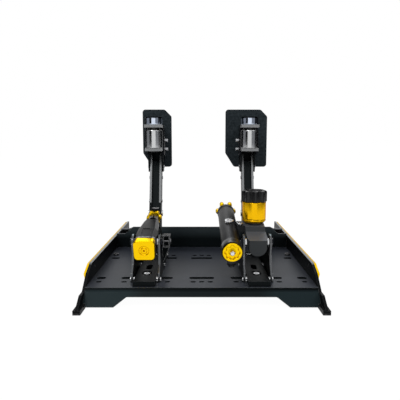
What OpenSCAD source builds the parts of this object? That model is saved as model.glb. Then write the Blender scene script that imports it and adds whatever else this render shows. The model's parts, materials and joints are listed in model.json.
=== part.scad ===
// Two-pedal set for a racing simulator: throttle and hydraulic brake on a sheet metal tray.
// Millimetres, +Z up, origin on the ground under the middle of the base, driver towards +Y.

/* [Base] */
// Width of the tray between the side plates
tray_w = 348; // [330:1:400]
// Thickness of the tray and heel sheet
sheet_t = 3; // [2:0.5:4]
// Height of the floor's top face over the ground
floor_z = 26; // [25:1:34]
// Length of the side plates, front to back
base_len = 444; // [440:1:500]
// Thickness of a side plate
side_t = 4; // [3:0.5:6]
// Height of the side plates' top edge over the floor
side_rise = 25; // [22:1:30]
// Thickness of a trim plate
trim_t = 3.5; // [3:0.5:5]
// Height of a trim plate
trim_h = 20; // [14:1:22]
// Width of a foot flange
flange_w = 11; // [9:0.5:14]
// Thickness of a foot flange
flange_t = 4; // [3:0.5:5]
// Thickness of the rubber strip under a flange
strip_t = 2.5; // [2:0.5:4]
// Distance from the middle to the tray's near edge
tray_front = 180; // [178:1:188]
// How far the skirt's lower edge stands out from the tray's near edge
skirt_out = 20; // [16:1:24]
// Width of each foot of the skirt
skirt_foot_w = 44; // [36:1:52]
// Run of the sloping ends of the opening under the skirt
cut_run = 19; // [14:1:24]
// Radius of that opening's upper corners
cut_corner_r = 5; // [3:0.5:7]
// Distance from the middle to the heel wall
wall_y = 69; // [66:1:80]
// Height of the heel wall over the floor
wall_rise = 42; // [38:1:50]
// Width of the heel wall's top edge
wall_top_w = 280; // [260:1:300]
// Height of the heel plate's driver end over the ground
heel_end_z = 30; // [26:1:36]

/* [Floor slots] */
// Place of the front slot row
front_row_y = -134; // [-138:1:-130]
// Place of the back slot row
back_row_y = -16; // [-20:1:-12]
// Width of the long slots
slot_w = 9.6; // [8:0.2:11]
// Length of the long slots under each pedal
pedal_slot_len = 82; // [60:1:90]
// Length of the middle slot
mid_slot_len = 40; // [30:1:50]
// Length of the outer rig slots
rig_slot_len = 15; // [10:1:18]
// Distance from the tray's side to the rig slots
rig_slot_edge = 14; // [12:1:18]
// Length of the small slots
small_slot_len = 8.4; // [6:0.2:9]
// Width of the small slots
small_slot_w = 5.6; // [4:0.2:7]
// Distance between the small slots
small_slot_pitch = 13.4; // [11:0.2:16]
// Distance between a small slot row and its long slot row
small_row_step = 19; // [16:1:22]

/* [Pedal frame] */
// Distance of each pedal from the middle
pedal_x = 87; // [84:1:96]
// Outside width of a pedal bracket
bracket_w = 44.5; // [42:0.5:50]
// Thickness of a bracket plate
bracket_t = 3; // [2:0.5:4]
// Room between a bracket plate and the base rail, filled by the tie screws' spacers
rail_room = 2.75; // [2:0.25:4]
// Height of the base rail between the bracket plates
rail_h = 8; // [7:0.5:10]
// Height of the pivot pin over the floor
pivot_rise = 24; // [22:1:28]
// Place of the pivot pin
pivot_y = -8; // [-12:1:-4]
// Radius of the pivot pin
pivot_r = 5; // [4:0.5:6]
// Place of the trunnion pins
trunnion_y = -133; // [-137:1:-130]
// Height of the trunnion pins over the floor
trunnion_rise = 58; // [56:1:62]
// Radius of the trunnion pins
trunnion_r = 4; // [3:0.5:5]

/* [Arms] */
// Lean of an arm towards the driver
arm_lean = 16; // [14:0.5:18]
// Length from the pivot pin to the clevis pin
clevis_len = 59.5; // [57:0.5:62]
// Length from the pivot pin to the centre of the arm's top end
arm_len = 178; // [172:1:184]
// Outside width over the two arm plates
arm_w = 22; // [20:0.5:24]
// Thickness of an arm plate
arm_t = 4; // [3:0.5:4]
// Radius of the arm's foot round the pivot pin
arm_foot_r = 14; // [12:0.5:16]
// Radius of the arm's top end
arm_top_r = 10; // [9:0.5:11]
// Radius of the clevis pin
clevis_r = 4; // [3:0.5:5]

/* [Pads] */
// Width of the throttle face plate
throttle_plate_w = 56; // [50:1:64]
// Width of the brake face plate
brake_plate_w = 81; // [70:1:90]
// Height of a face plate
plate_h = 111; // [100:1:120]
// Thickness of a face plate
plate_t = 5; // [4:0.5:6]
// Height of a face plate's centre over the arm's top end
plate_rise = 26; // [23:1:29]
// Distance from the arm's top end back to the face plate's rear face
plate_reach = 16; // [15:0.5:19]
// Thickness of the pad bracket's sheet
pad_sheet_t = 4; // [3:0.5:5]
// Radius of a face plate's corners
plate_corner_r = 5.5; // [3:0.5:7]
// Distance between the plate bolts, across
plate_bolt_x = 12; // [10:0.5:14]
// Thickness of the pad bracket's ears
ear_t = 3; // [2.5:0.5:4]

/* [Vibration motors] */
// Radius of a motor
motor_r = 16; // [14:0.5:17]
// Height of a motor
motor_h = 37; // [34:1:40]
// Distance from the arm's top end forward to the motor's axis
motor_reach = 45; // [43:0.5:47]
// Height of the motor's lower end over the arm's top end
motor_rise = 8; // [6:1:10]
// Thickness of the motor mount's flanges
mount_t = 5; // [4:0.5:6]
// Thickness of the motor mount's wings and back
wing_t = 3; // [2:0.5:4]
// Height of the motor cover
cover_h = 14.5; // [13:0.5:16]
// Wall of the motor cover
cover_wall = 1.6; // [1.2:0.2:2]

/* [Throttle cartridge] */
// Width of the square cartridge
cart_w = 33; // [31:0.5:34]
// Length from the trunnion pins to where the cartridge starts to narrow
cart_square = 20; // [14:1:26]
// Length of the narrowing part
cart_taper = 52; // [46:1:56]
// Width of the cartridge's narrow end
cart_nose_w = 26; // [25:0.5:30]
// Length of the square part behind the trunnion pins
cart_rear = 22; // [20:1:24]
// Radius of the cartridge's bore
cart_bore_r = 11.5; // [10.5:0.5:12]
// Thickness of the gold end cap
end_cap_t = 12; // [10:0.5:14]
// Radius of the rod
rod_r = 6; // [5:0.5:7]
// Radius of the rod's neck
neck_r = 9; // [8:0.5:10]
// Outer radius of the preload ring
ring_r = 14; // [12:0.5:15]
// Thickness of the preload ring
ring_t = 10; // [8:0.5:11]
// Radius of the spring, to the middle of its wire
spring_r = 8.6; // [8.2:0.1:9]
// Radius of the spring's wire
wire_r = 1.3; // [1:0.1:1.5]
// Turns of the spring
spring_turns = 6; // [4:1:7]

/* [Brake cylinders] */
// Width of the master cylinder block
master_w = 32; // [30:0.5:34]
// Radius of the master cylinder's bore
master_bore_r = 9; // [8:0.5:10]
// Radius of the reservoir
res_r = 19.5; // [17:0.5:21]
// Height of the reservoir
res_h = 34; // [30:1:38]
// Height of the reservoir cap
res_cap_h = 21; // [18:1:24]
// Place of the reservoir's axis
res_y = -90; // [-94:1:-88]
// Height of the reservoir's foot over the ground
res_z = 109; // [107:1:112]
// Room between the side cylinder and the trunnion pin's head
slave_room = 1.25; // [1:0.25:3]
// Radius of the side cylinder
slave_r = 15; // [14:0.5:16]
// Radius of the side cylinder's bore
slave_bore_r = 11.5; // [10.5:0.5:12]
// Height of the side cylinder's axis over the push rod's axis
slave_lift = 2; // [0:0.5:4]
// Length of the side cylinder in front of the trunnion pins
slave_front = 136; // [130:1:138]
// Length of the side cylinder behind the trunnion pins
slave_rear = 32; // [28:1:33]
// Radius of the near knob
near_knob_r = 14.7; // [13:0.1:15]
// Radius over the far knob's lobes
far_knob_r = 19; // [17:0.5:20]

/* [Clearances] */
// Radial clearance of a turning or sliding fit
fit = 0.05; // [0.03:0.01:0.08]
// Clearance between pieces that pass each other
gap = 0.3; // [0.2:0.05:0.5]
// Radial clearance of a rod eye on its clevis pin
eye_gap = 0.7; // [0.6:0.05:0.9]

/* [Hidden] */
$fn = 48;

throttle_side = -1;
brake_side = 1;
left = -1;
right = 1;
over = 1;

// Base heights and edges
half_w = tray_w / 2;
half_len = base_len / 2;
side_top = floor_z + side_rise;
side_out = half_w + side_t;
flange_out = side_out + trim_t;
flange_top = strip_t + flange_t;
floor_under = floor_z - sheet_t;
crease_out = 4;
crease_drop = 6;
crease_z = floor_z - crease_drop;
skirt_lap = 3.5;
skirt_z = flange_top - skirt_lap;
skirt_front = tray_front + skirt_out;
cut_drop = 5.5;
wall_top = floor_z + wall_rise;
notch_rise = 3;
notch_z = side_top + notch_rise;
notch_step = 16;
heel_setback = 6;
heel_end_y = half_len - heel_setback;
heel_lip_rise = 4;
heel_lip_z = flange_top + heel_lip_rise;
grip_len = 23;
grip_w = 7;
tab_w = 20;
tab_len = 24;
rear_bolt_x = half_w - tab_w / 2;
rear_bolt_y = 7;
rig_slot_x = half_w - rig_slot_edge;

// Places along a side plate's front end, behind the tray's near edge, and its trim
flange_nose = 22;
side_step = 1;
ramp_mid = 21;
ramp_end = 46;
ramp_drop = 10;
trim_foot = 28;
trim_screw_edge = 20;
trim_screws = 4;

// Heads of the small fasteners
bolt_r = 3;
bolt_head_r = 5;
bolt_head_h = 3;
screw_r = 1.5;
screw_head_r = 2.8;
screw_head_h = 1.8;
pin_head_h = 3;
pin_head_step = 2.5;
plate_screw_r = 2;
plate_head_r = 4;
plate_head_h = 2.5;
nut_step = 2.2;
nut_h = 3.5;

// Pedal heights and places in the side view, as [y, z]
pivot_z = floor_z + pivot_rise;
trunnion_z = floor_z + trunnion_rise;
trunnion_boss_r = 13;
pivot_boss_r = 16;
bracket_in = bracket_w / 2 - bracket_t;
rail_half = bracket_in - rail_room;
rail_top = floor_z + rail_h;
rail_front_edge = 4;
rail_front = tray_front - rail_front_edge;
rail_back = pivot_y + pivot_boss_r + 2;
recess_h = rail_h / 2;
recess_edge = 2.5;
recess_reach = 4;
rail_slot_step = 34;
rail_slot_y = front_row_y + rail_slot_step;
rail_slot_reach = 8;
tie_screw_z = floor_z + rail_h / 2;
tie_edge = 30;
tie_depth = 6;
tie_spacer_r = rail_h / 2 - gap;
washer_t = 1;
bolt_tail = 8;
floor_nut_h = 6;
bracket_nose = 24;

// Point on an arm at length s from the pivot pin and t towards the driver
function arm_point(s, t = 0) = [
    pivot_y + s * sin(arm_lean) + t * cos(arm_lean),
    pivot_z + s * cos(arm_lean) - t * sin(arm_lean)
];
clevis = arm_point(clevis_len);
arm_top = arm_point(arm_len);
plate_y = arm_top[0] + plate_reach;
plate_z = arm_top[1] + plate_rise;
motor_y = arm_top[0] - motor_reach;
motor_z = arm_top[1] + motor_rise;
trunnion = [trunnion_y, trunnion_z];
rod_angle = atan2(clevis[1] - trunnion[1], clevis[0] - trunnion[0]);
rod_len = norm(clevis - trunnion);
arm_gap = arm_w - 2 * arm_t;
eye_w = arm_gap - 4 * gap;
eye_r = clevis_r + 5;
arm_mid_r = 12;
window_edge = 8;
window_r = 4.5;
core_room = 1;
core_low = clevis_len + eye_r + core_room;
pad_bolt_drop = 28;
pad_bolt_edge = 4;
pad_bolt_s = [arm_len - pad_bolt_drop, arm_len - pad_bolt_edge];
core_over = 8;
core_high = pad_bolt_s[0] + core_over;
core_front = 3;
core_back = 5;
core_screw_edge = 13;
core_screw_drop = 22;
core_screw_s = [core_low + core_screw_edge, pad_bolt_s[0] - core_screw_drop];
pocket_drop = 5;
pocket_s = pad_bolt_s[0] - pocket_drop;
pocket_w = 6;
pocket_len = 16;
pocket_d = 2;
clevis_head_h = 2.6;

// Pad and motor
ear_out = arm_w / 2 + ear_t;
wing_out = ear_out + wing_t;
flange_back = plate_y - pad_sheet_t;
mount_y = motor_y + motor_r + wing_t + gap;
pad_front = mount_y + pad_sheet_t;
flange_rise = 19;
ear_top = plate_z + flange_rise;
ear_reach = 10;
ear_low = arm_point(pad_bolt_s[0])[1] - ear_reach;
ear_slope = 20;
flange_low = ear_low + ear_slope;
plate_bolt_drop = 9;
plate_bolt_rise = 11;
plate_bolt_z = [plate_z - plate_bolt_drop, plate_z + plate_bolt_rise];
cut_high = [13, 13];
cut_low = [17, 27];
motor_top = motor_z + motor_h;
mount_top = motor_top + mount_t;
mount_lip = 1;
top_flange_step = 0.5;
low_flange_step = 1.2;
wing_depth = 20;
wing_drop = 12;
wing_rise = 21;
wing_back = mount_y + wing_depth;
wing_low = motor_z - wing_drop;
wing_high = motor_z + wing_rise;
wing_bolt_in = 11;
wing_bolt_drop = 2;
wing_bolt_rise = 14;
wing_bolt_y = mount_y + wing_bolt_in;
wing_bolt_z = [motor_z - wing_bolt_drop, motor_z + wing_bolt_rise];
wing_head_r = 3.2;
wing_head_h = 5.7;
wing_low_h = 2;
motor_edge = 1;
motor_boss_r = 6;
motor_boss_h = 2;
motor_neck_r = 11;
motor_neck_h = 3;
cover_step = 0.5;
shaft_r = 1.6;
shaft_room = 2;
shaft_up = mount_top + cover_h - cover_wall - shaft_room;
weight_room = 2;
weight_h = cover_h - cover_wall - 3 * weight_room;
weight_r = motor_r - cover_wall - 3;
weight_hub = 3;
cover_edge_r = 4;

// Throttle cartridge along its axis, measured from the trunnion pins
trunnion_depth = 4;
collar_step = 2.2;
pedal_travel_room = 20;
cart_cut = 5;
cap_round = 6.5;
cap_lip = 3;
cap_inset = 2.5;
dimple_r = 6.5;
dimple_core_r = 4.5;
dimple_d = 1.2;
cap_screw_d = 6;
cart_nose = cart_square + cart_taper;
cart_end_wall = 12;
cart_bore_end = cart_nose - cart_end_wall;
cart_pocket_r = 7;
cart_pocket_d = 1;
neck_start = cart_nose + pedal_travel_room;
ring_clear = 9;
ring_end = rod_len - arm_mid_r - ring_clear;
neck_over = 2;
piston_t = 7;
spring_room = 14;
spring_len = cart_bore_end - spring_room;
spring_start = -cart_rear + 1;
piston_start = spring_start + spring_len + gap;
ring_lobe_r = 4.9;
ring_core_r = 10.6;
eye_flat = 2;
eye_shank = 4;

// Brake cylinders along the same axis
master_front = 62;
master_rear = 18;
master_step = 2.4;
nose_top = 9.8;
nose_drop = 2.6;
nose_end = 24;
lip_t = 3;
shoulder_rear = 6;
shoulder_low = 6;
ramp_start = 21;
master_top = 16;
master_low = 13;
gland_t = 8;
gland_step = 2;
bore_start = 4;
bore_edge = 6;
master_piston_y = 24;
master_piston_t = 14;
lock_nut_h = 6;
res_foot_r = 12;
res_foot_h = 14;
res_wall = 2.5;
res_floor = 6;
cap_step = 1.6;
cap_lobe_r = 5.2;
cap_core_step = 2.7;
cap_top_h = 4;
cap_plug_h = 8;
cap_rim = 6;
slave_off = bracket_w / 2 + pin_head_h + slave_room + slave_r;
slave_x = -slave_off;
link_mid = 46;
link_half = 11;
link_h = 12;
link_sink = 2;
stack_start = 70;
stack_room = 1;
stack_r = slave_bore_r - stack_room;
stack_neck = 3;
stack_step = 2;
side_piston_t = 9;
side_piston_rod_r = 4;
side_piston_rod = 14;
near_ring_step = 1.6;
near_ring_r = slave_r + near_ring_step;
near_ring_lap = 4;
near_ring_t = 10;
far_ring_step = 1;
far_ring_t = 7;
slave_end_t = 4;
knob_t = 11;
knob_stem_r = 8;
knob_stem = 3.5;
near_stem_r = 6;
near_face_t = 9;
near_recess_d = 6;
near_rim = 3.5;
near_lobe_r = 2.9;
near_core_r = 9.1;
near_stud_r = 3;
near_stud_set = 1;
far_lobe_r = 3.4;
far_core_r = 14.5;
bleed_port_r = 4;
bleed_port_d = 2;
bleed_r = 7.5;
bleed_h = 4;
bleed_slot = 2;
banjo_x = 2.5;
banjo_y = 8;
sensor_port_r = 4;
sensor_port_d = 5;
hex_r = 8;
hex_h = 8;
hex_foot_r = 5;
hex_foot_h = 4;

// Small sensor frame on the throttle bracket
sensor_step = 33;
sensor_y = trunnion_y + sensor_step;
sensor_drop = 15;
sensor_low = trunnion_z - sensor_drop;
sensor_h = 21;
sensor_reach = 12.5;
sensor_sheet = 2;
sensor_frame_d = 9;
sensor_body_len = 18;
sensor_body_edge = 3;
socket_edge = 2;
socket_d = 6;
gusset_rise = 18;
gusset_low = floor_z + gusset_rise;
sensor_bolt_r = 2.2;

function unit(v) = v / norm(v);

// Corner b of an outline, between its neighbours a and c, as points on a round of radius r
function corner_round(a, b, c, r) =
    let (
        way_a = unit(a - b),
        way_c = unit(c - b),
        half = acos(way_a * way_c) / 2,
        centre = b + unit(way_a + way_c) * r / sin(half),
        from = b + way_a * r / tan(half) - centre,
        to = b + way_c * r / tan(half) - centre
    )
    [for (k = [0:4]) centre + r * unit(from * (4 - k) + to * k)];

// Outline with each corner rounded
function round_outline(points, r) =
    let (count = len(points))
    [for (k = [0:count - 1])
        each corner_round(points[(k + count - 1) % count], points[k], points[(k + 1) % count], r)];

module on_pedal(side) translate([side * pedal_x, 0, 0]) children();
module on_axis() translate([0, trunnion_y, trunnion_z]) rotate([rod_angle, 0, 0]) children();
module on_arm() translate([0, pivot_y, pivot_z]) rotate([-arm_lean, 0, 0]) children();
module at_point(p) translate([0, p[0], p[1]]) children();
module rod_x(r, x0, x1) translate([x0, 0, 0]) rotate([0, 90, 0]) cylinder(r = r, h = x1 - x0);
module rod_y(r, y0, y1) translate([0, y0, 0]) rotate([-90, 0, 0]) cylinder(r = r, h = y1 - y0);
module cone_y(r0, r1, y0, y1)
    translate([0, y0, 0])
        rotate([-90, 0, 0])
            cylinder(r1 = r0, r2 = r1, h = y1 - y0);

// Outline in the side view, as [y, z], given a thickness from x0 to x1
module side_sheet(x0, x1) {
    translate([x0, 0, 0])
        rotate([90, 0, 90])
            linear_extrude(x1 - x0)
                children();
}

// Upright slot through the floor, with round ends
module floor_slot(x, y, length, width) {
    reach = (length - width) / 2;
    translate([x, y, floor_under - over]) {
        translate([-reach, -width / 2, 0]) cube([2 * reach, width, sheet_t + 2 * over]);
        for (end = [-reach, reach]) translate([end, 0, 0]) cylinder(d = width, h = sheet_t + 2 * over);
    }
}

// One row of slots: middle, under each pedal, outer rig slots, and its small slots
module slot_row(row_y, small_y) {
    floor_slot(0, row_y, mid_slot_len, slot_w);
    small_count = floor(pedal_slot_len / small_slot_pitch);
    for (k = [-1:1]) floor_slot(k * small_slot_pitch, small_y, small_slot_len, small_slot_w);
    for (side = [left, right]) {
        floor_slot(side * pedal_x, row_y, pedal_slot_len, slot_w);
        floor_slot(side * rig_slot_x, row_y, rig_slot_len, slot_w);
        for (k = [0:small_count - 1]) {
            step = (k - (small_count - 1) / 2) * small_slot_pitch;
            floor_slot(side * pedal_x + step, small_y, small_slot_len, small_slot_w);
        }
        if (small_y < row_y) floor_slot(side * rig_slot_x, small_y, small_slot_len, small_slot_w);
    }
}

module base_tray() color("#1d1e20") {
    difference() {
        side_sheet(-half_w, half_w)
            polygon([
                [-tray_front, floor_z],
                [-tray_front - crease_out, crease_z],
                [-skirt_front, skirt_z],
                [-skirt_front + 1.4 * sheet_t, skirt_z],
                [-tray_front - crease_out + 1.2 * sheet_t, crease_z - 0.4 * sheet_t],
                [-tray_front + 0.8 * sheet_t, floor_under],
                [wall_y, floor_under],
                [wall_y, floor_z]
            ]);
        slot_row(front_row_y, front_row_y - small_row_step);
        slot_row(back_row_y, back_row_y + small_row_step);
        for (side = [left, right])
            translate([side * rear_bolt_x, rear_bolt_y, floor_under - over])
                cylinder(r = bolt_r + gap, h = sheet_t + 2 * over);
        skirt_cut();
        for (side = [left, right])
            translate([side * (flange_out - flange_w / 2), -skirt_front, flange_top / 2])
                cube([flange_w + 2 * gap, 4 * skirt_out, flange_top + 2 * gap], center = true);
    }
}

// Wide shallow opening under the skirt, with sloping ends and round upper corners
module skirt_cut() {
    low_half = half_w - skirt_foot_w;
    high_half = low_half - cut_run;
    top = crease_z - cut_drop;
    low = skirt_z - over;
    translate([0, -tray_front + over, 0])
        rotate([90, 0, 0])
            linear_extrude(skirt_out + 2 * crease_out)
                polygon(concat(
                    [[-low_half, low], [low_half, low]],
                    corner_round([low_half, low], [high_half, top], [-high_half, top], cut_corner_r),
                    corner_round([high_half, top], [-high_half, top], [-low_half, low], cut_corner_r)
                ));
}

module heel_plate() color("#1d1e20") {
    slope_drop = 1.05 * sheet_t;
    difference() {
        side_sheet(-half_w, half_w)
            polygon([
                [wall_y, floor_under],
                [wall_y, wall_top],
                [wall_y + sheet_t, wall_top],
                [heel_end_y, heel_end_z],
                [heel_end_y, heel_lip_z],
                [heel_end_y - sheet_t, heel_lip_z],
                [heel_end_y - sheet_t, heel_end_z - slope_drop],
                [wall_y + sheet_t, wall_top - slope_drop],
                [wall_y + sheet_t, floor_under]
            ]);
        for (side = [left, right]) heel_notch(side);
        heel_grip_slots();
    }
}

// Cut corner of the heel wall, in the front view
module heel_notch(side) {
    top_half = wall_top_w / 2;
    translate([0, heel_end_y, 0])
        rotate([90, 0, 0])
            linear_extrude(heel_end_y - wall_y + over)
                polygon([
                    [side * top_half, wall_top + over],
                    [side * top_half, wall_top],
                    [side * (top_half + notch_step), notch_z],
                    [side * (half_w + over), notch_z],
                    [side * (half_w + over), wall_top + over]
                ]);
}

// Rows of grip slots through the sloping heel plate
module heel_grip_slots() {
    rows = 4;
    columns = 7;
    reach = (grip_len - grip_w) / 2;
    for (row = [0:rows - 1], column = [0:columns - 1]) {
        grip_x = (column - (columns - 1) / 2) * wall_top_w / (columns + 1);
        grip_y = wall_y + (row + 1) * (heel_end_y - wall_y) / (rows + 1);
        translate([grip_x, grip_y, heel_lip_z + over]) {
            for (end = [-reach, reach]) translate([end, 0, 0]) cylinder(d = grip_w, h = wall_top);
            translate([-reach, -grip_w / 2, 0]) cube([2 * reach, grip_w, wall_top]);
        }
    }
}

module side_profile() {
    polygon([
        [-half_len, strip_t],
        [-half_len, flange_top],
        [-half_len + flange_nose, crease_z + side_step],
        [-tray_front - crease_out, crease_z + side_step],
        [-tray_front + ramp_mid, side_top - ramp_drop],
        [-tray_front + ramp_end, side_top],
        [half_len, side_top],
        [half_len, strip_t]
    ]);
}

module side_plate(side) color("#1b1c1e") {
    inner = side * half_w;
    outer = side * side_out;
    difference() {
        union() {
            side_sheet(min(inner, outer), max(inner, outer)) side_profile();
            translate([side > 0 ? flange_out - flange_w : -flange_out, -half_len, strip_t])
                cube([flange_w, base_len, flange_t]);
            translate([side * rear_bolt_x, rear_bolt_y, floor_under - flange_t / 2])
                cube([tab_w, tab_len, flange_t], center = true);
        }
        translate([side * rear_bolt_x, rear_bolt_y, floor_under - flange_t - over])
            cylinder(r = bolt_r, h = flange_t + 2 * over);
        for (k = [0:trim_screws - 1])
            translate([0, trim_screw_y(k), trim_screw_z()])
                rod_x(screw_r, min(inner, outer) - over, max(inner, outer) + over);
    }
}

// Trim screws, spread over the trim's length
function trim_screw_y(k) =
    let (first = -tray_front + ramp_end + trim_screw_edge, last = half_len - trim_screw_edge)
    first + k * (last - first) / (trim_screws - 1);
function trim_screw_z() = side_top - trim_h / 2 - side_step;

module trim(side) color("#d99a1c") {
    top = side_top - side_step;
    x0 = side > 0 ? side_out : -flange_out;
    difference() {
        side_sheet(x0, x0 + trim_t)
            polygon([
                [-tray_front + ramp_mid + side_step, top - ramp_drop],
                [-tray_front + ramp_end, top],
                [half_len - side_step, top],
                [half_len - side_step, top - trim_h],
                [-tray_front + trim_foot, top - trim_h]
            ]);
        for (k = [0:trim_screws - 1])
            translate([side * side_out, trim_screw_y(k), trim_screw_z()])
                rotate([0, 90 * side, 0]) {
                    translate([0, 0, -over]) cylinder(r = screw_r, h = trim_t + 2 * over);
                    translate([0, 0, trim_t - screw_head_h]) cylinder(r = screw_head_r + gap, h = trim_t);
                }
    }
}

module foot_strips() color("#101112")
    for (side = [left, right])
        translate([side > 0 ? flange_out - flange_w : -flange_out, -half_len, 0])
            cube([flange_w, base_len, strip_t]);

// Bolt along Z: shank from z0 to z1 with a socket head on top
module socket_bolt(r, head_r, head_h, z0, z1) {
    difference() {
        union() {
            translate([0, 0, z0]) cylinder(r = r, h = z1 - z0);
            translate([0, 0, z1]) cylinder(r = head_r, h = head_h);
        }
        translate([0, 0, z1 + head_h / 2]) cylinder(r = head_r / 2, h = head_h, $fn = 6);
    }
}

// Floor bolts at the back, flush trim screws, and the bolt across the sensor frame
module base_bolts() color("#c9ccd0") {
    for (side = [left, right]) {
        translate([side * rear_bolt_x, rear_bolt_y, 0])
            socket_bolt(bolt_r, bolt_head_r, bolt_head_h, floor_under - flange_t, floor_z);
        for (k = [0:trim_screws - 1])
            translate([side * half_w, trim_screw_y(k), trim_screw_z()])
                rotate([0, 90 * side, 0])
                    socket_bolt(screw_r, screw_head_r, screw_head_h, 0, side_t + trim_t - screw_head_h);
    }
    on_pedal(throttle_side)
        translate([bracket_w / 2 + sensor_reach, sensor_bolt_y(), sensor_bolt_z()])
            rotate([0, 90, 0])
                socket_bolt(sensor_bolt_r, bolt_head_r - 1, screw_head_h, -sensor_reach, 0);
}

function sensor_bolt_y() = sensor_y - (sensor_frame_d + sensor_sheet) / 2;
function sensor_bolt_z() = sensor_low + sensor_h / 2;

// Base rail between the bracket plates, with a recessed slot for each floor bolt
module base_rail() color("#202124") {
    recess_r = bolt_head_r + recess_edge;
    difference() {
        translate([-rail_half, -rail_front, floor_z]) cube([2 * rail_half, rail_front + rail_back, rail_h]);
        for (row_y = [front_row_y, back_row_y]) translate([0, row_y, 0]) {
            translate([0, 0, floor_z - over]) cylinder(r = bolt_r + gap, h = rail_h + 2 * over);
            for (end = [-recess_reach, recess_reach])
                translate([0, end, rail_top - recess_h]) cylinder(r = recess_r, h = rail_h);
            translate([-recess_r, -recess_reach, rail_top - recess_h])
                cube([2 * recess_r, 2 * recess_reach, rail_h]);
        }
        translate([0, rail_slot_y, floor_z - over]) {
            for (end = [-rail_slot_reach, rail_slot_reach])
                translate([0, end, 0]) cylinder(d = slot_w, h = rail_h + 2 * over);
            translate([-slot_w / 2, -rail_slot_reach, 0])
                cube([slot_w, 2 * rail_slot_reach, rail_h + 2 * over]);
        }
        for (y = tie_screws()) translate([0, y, tie_screw_z]) rod_x(screw_r, -bracket_w, bracket_w);
    }
}

function tie_screws() = [-tray_front + tie_edge, (front_row_y + back_row_y) / 2, pivot_y];

module bracket_plate(side) color("#232427") {
    x0 = side > 0 ? bracket_in : -bracket_w / 2;
    front = trunnion_y - trunnion_boss_r;
    difference() {
        side_sheet(x0, x0 + bracket_t) {
            polygon([
                [-tray_front + bracket_nose, floor_z],
                [-tray_front + bracket_nose, rail_top + 0.75 * rail_h],
                [front + 2, trunnion_z - 2.5 * trunnion_boss_r],
                [front + 4, trunnion_z - 1.4 * trunnion_boss_r],
                [front, trunnion_z],
                [trunnion_y, trunnion_z + trunnion_boss_r],
                [trunnion_y + trunnion_boss_r, trunnion_z],
                [trunnion_y + 2 * trunnion_boss_r, trunnion_z - 1.5 * trunnion_boss_r],
                [pivot_y - 2.1 * pivot_boss_r, pivot_z + 0.2 * pivot_boss_r],
                [pivot_y, pivot_z + pivot_boss_r],
                [pivot_y + pivot_boss_r, pivot_z],
                [pivot_y + pivot_boss_r, floor_z]
            ]);
            translate(trunnion) circle(r = trunnion_boss_r);
            translate([pivot_y, pivot_z]) circle(r = pivot_boss_r);
        }
        at_point(trunnion) rod_x(trunnion_r, x0 - over, x0 + bracket_t + over);
        at_point([pivot_y, pivot_z]) rod_x(pivot_r, x0 - over, x0 + bracket_t + over);
        for (y = tie_screws())
            translate([0, y, tie_screw_z]) rod_x(screw_r, x0 - over, x0 + bracket_t + over);
    }
}

// Ring along Z with a bore
module ring_z(r, bore, h) {
    difference() {
        cylinder(r = r, h = h);
        translate([0, 0, -over]) cylinder(r = bore, h = h + 2 * over);
    }
}

// Floor bolts with washer and nut, and the tie screws through the bracket plates with their spacers
module bracket_bolts() color("#c9ccd0") {
    recess_z = rail_top - recess_h;
    for (row_y = [front_row_y, back_row_y]) translate([0, row_y, 0]) {
        socket_bolt(bolt_r, bolt_head_r, bolt_head_h, floor_under - bolt_tail, recess_z + washer_t);
        translate([0, 0, recess_z]) ring_z(bolt_head_r + 1.5, bolt_r, washer_t);
        translate([0, 0, floor_under - floor_nut_h]) difference() {
            cylinder(r = bolt_head_r + 2, h = floor_nut_h, $fn = 6);
            translate([0, 0, -over]) cylinder(r = bolt_r, h = floor_nut_h + 2 * over);
        }
    }
    for (y = tie_screws(), side = [left, right])
        translate([side * bracket_w / 2, y, tie_screw_z])
            rotate([0, 90 * side, 0]) {
                socket_bolt(screw_r, screw_head_r, screw_head_h, -bracket_t - rail_room - tie_depth, 0);
                translate([0, 0, -bracket_t - rail_room]) ring_z(tie_spacer_r, screw_r, rail_room);
            }
}

module pivot_pin() color("#b9bcc2") {
    reach = bracket_w / 2;
    at_point([pivot_y, pivot_z]) {
        rod_x(pivot_r, -reach, reach);
        for (side = [left, right])
            translate([side * reach, 0, 0])
                rotate([0, 90 * side, 0])
                    cylinder(r = pivot_r + pin_head_step, h = pin_head_h);
    }
}

// Spacer rings on the pivot pin between the arm plates and the bracket plates
module pivot_spacers() color("#8f9296")
    at_point([pivot_y, pivot_z])
        for (side = [left, right])
            translate([side * (arm_w / 2 + gap), 0, 0])
                rotate([0, 90 * side, 0])
                    ring_z(pivot_r + pin_head_step, pivot_r, bracket_in - arm_w / 2 - gap);

// Pins through the bracket plates into the sides of the cylinder between them, with a collar inside
module trunnion_pins(cylinder_w) color("#c9ccd0") {
    collar_t = bracket_in - cylinder_w / 2 - gap;
    tip = cylinder_w / 2 - trunnion_depth + gap;
    at_point(trunnion)
        for (side = [left, right])
            translate([side * bracket_w / 2, 0, 0])
                rotate([0, 90 * side, 0]) {
                    socket_bolt(trunnion_r, trunnion_r + pin_head_step, pin_head_h, tip - bracket_w / 2, 0);
                    translate([0, 0, -bracket_t - collar_t])
                        cylinder(r = trunnion_r + collar_step, h = collar_t);
                }
}

module arm_profile() {
    side_at = [arm_foot_r, arm_mid_r, arm_top_r];
    polygon([
        [-side_at[0], 0], [-side_at[1], clevis_len], [-side_at[2], arm_len],
        [side_at[2], arm_len], [side_at[1], clevis_len], [side_at[0], 0]
    ]);
    circle(r = arm_foot_r);
    translate([0, arm_len]) circle(r = arm_top_r);
}

// Slot that lightens an arm between two heights
module arm_window(s0, s1) {
    r = window_r;
    translate([-r, s0 + r]) square([2 * r, s1 - s0 - 2 * r]);
    for (end = [s0 + r, s1 - r]) translate([0, end]) circle(r = r);
}

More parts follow.
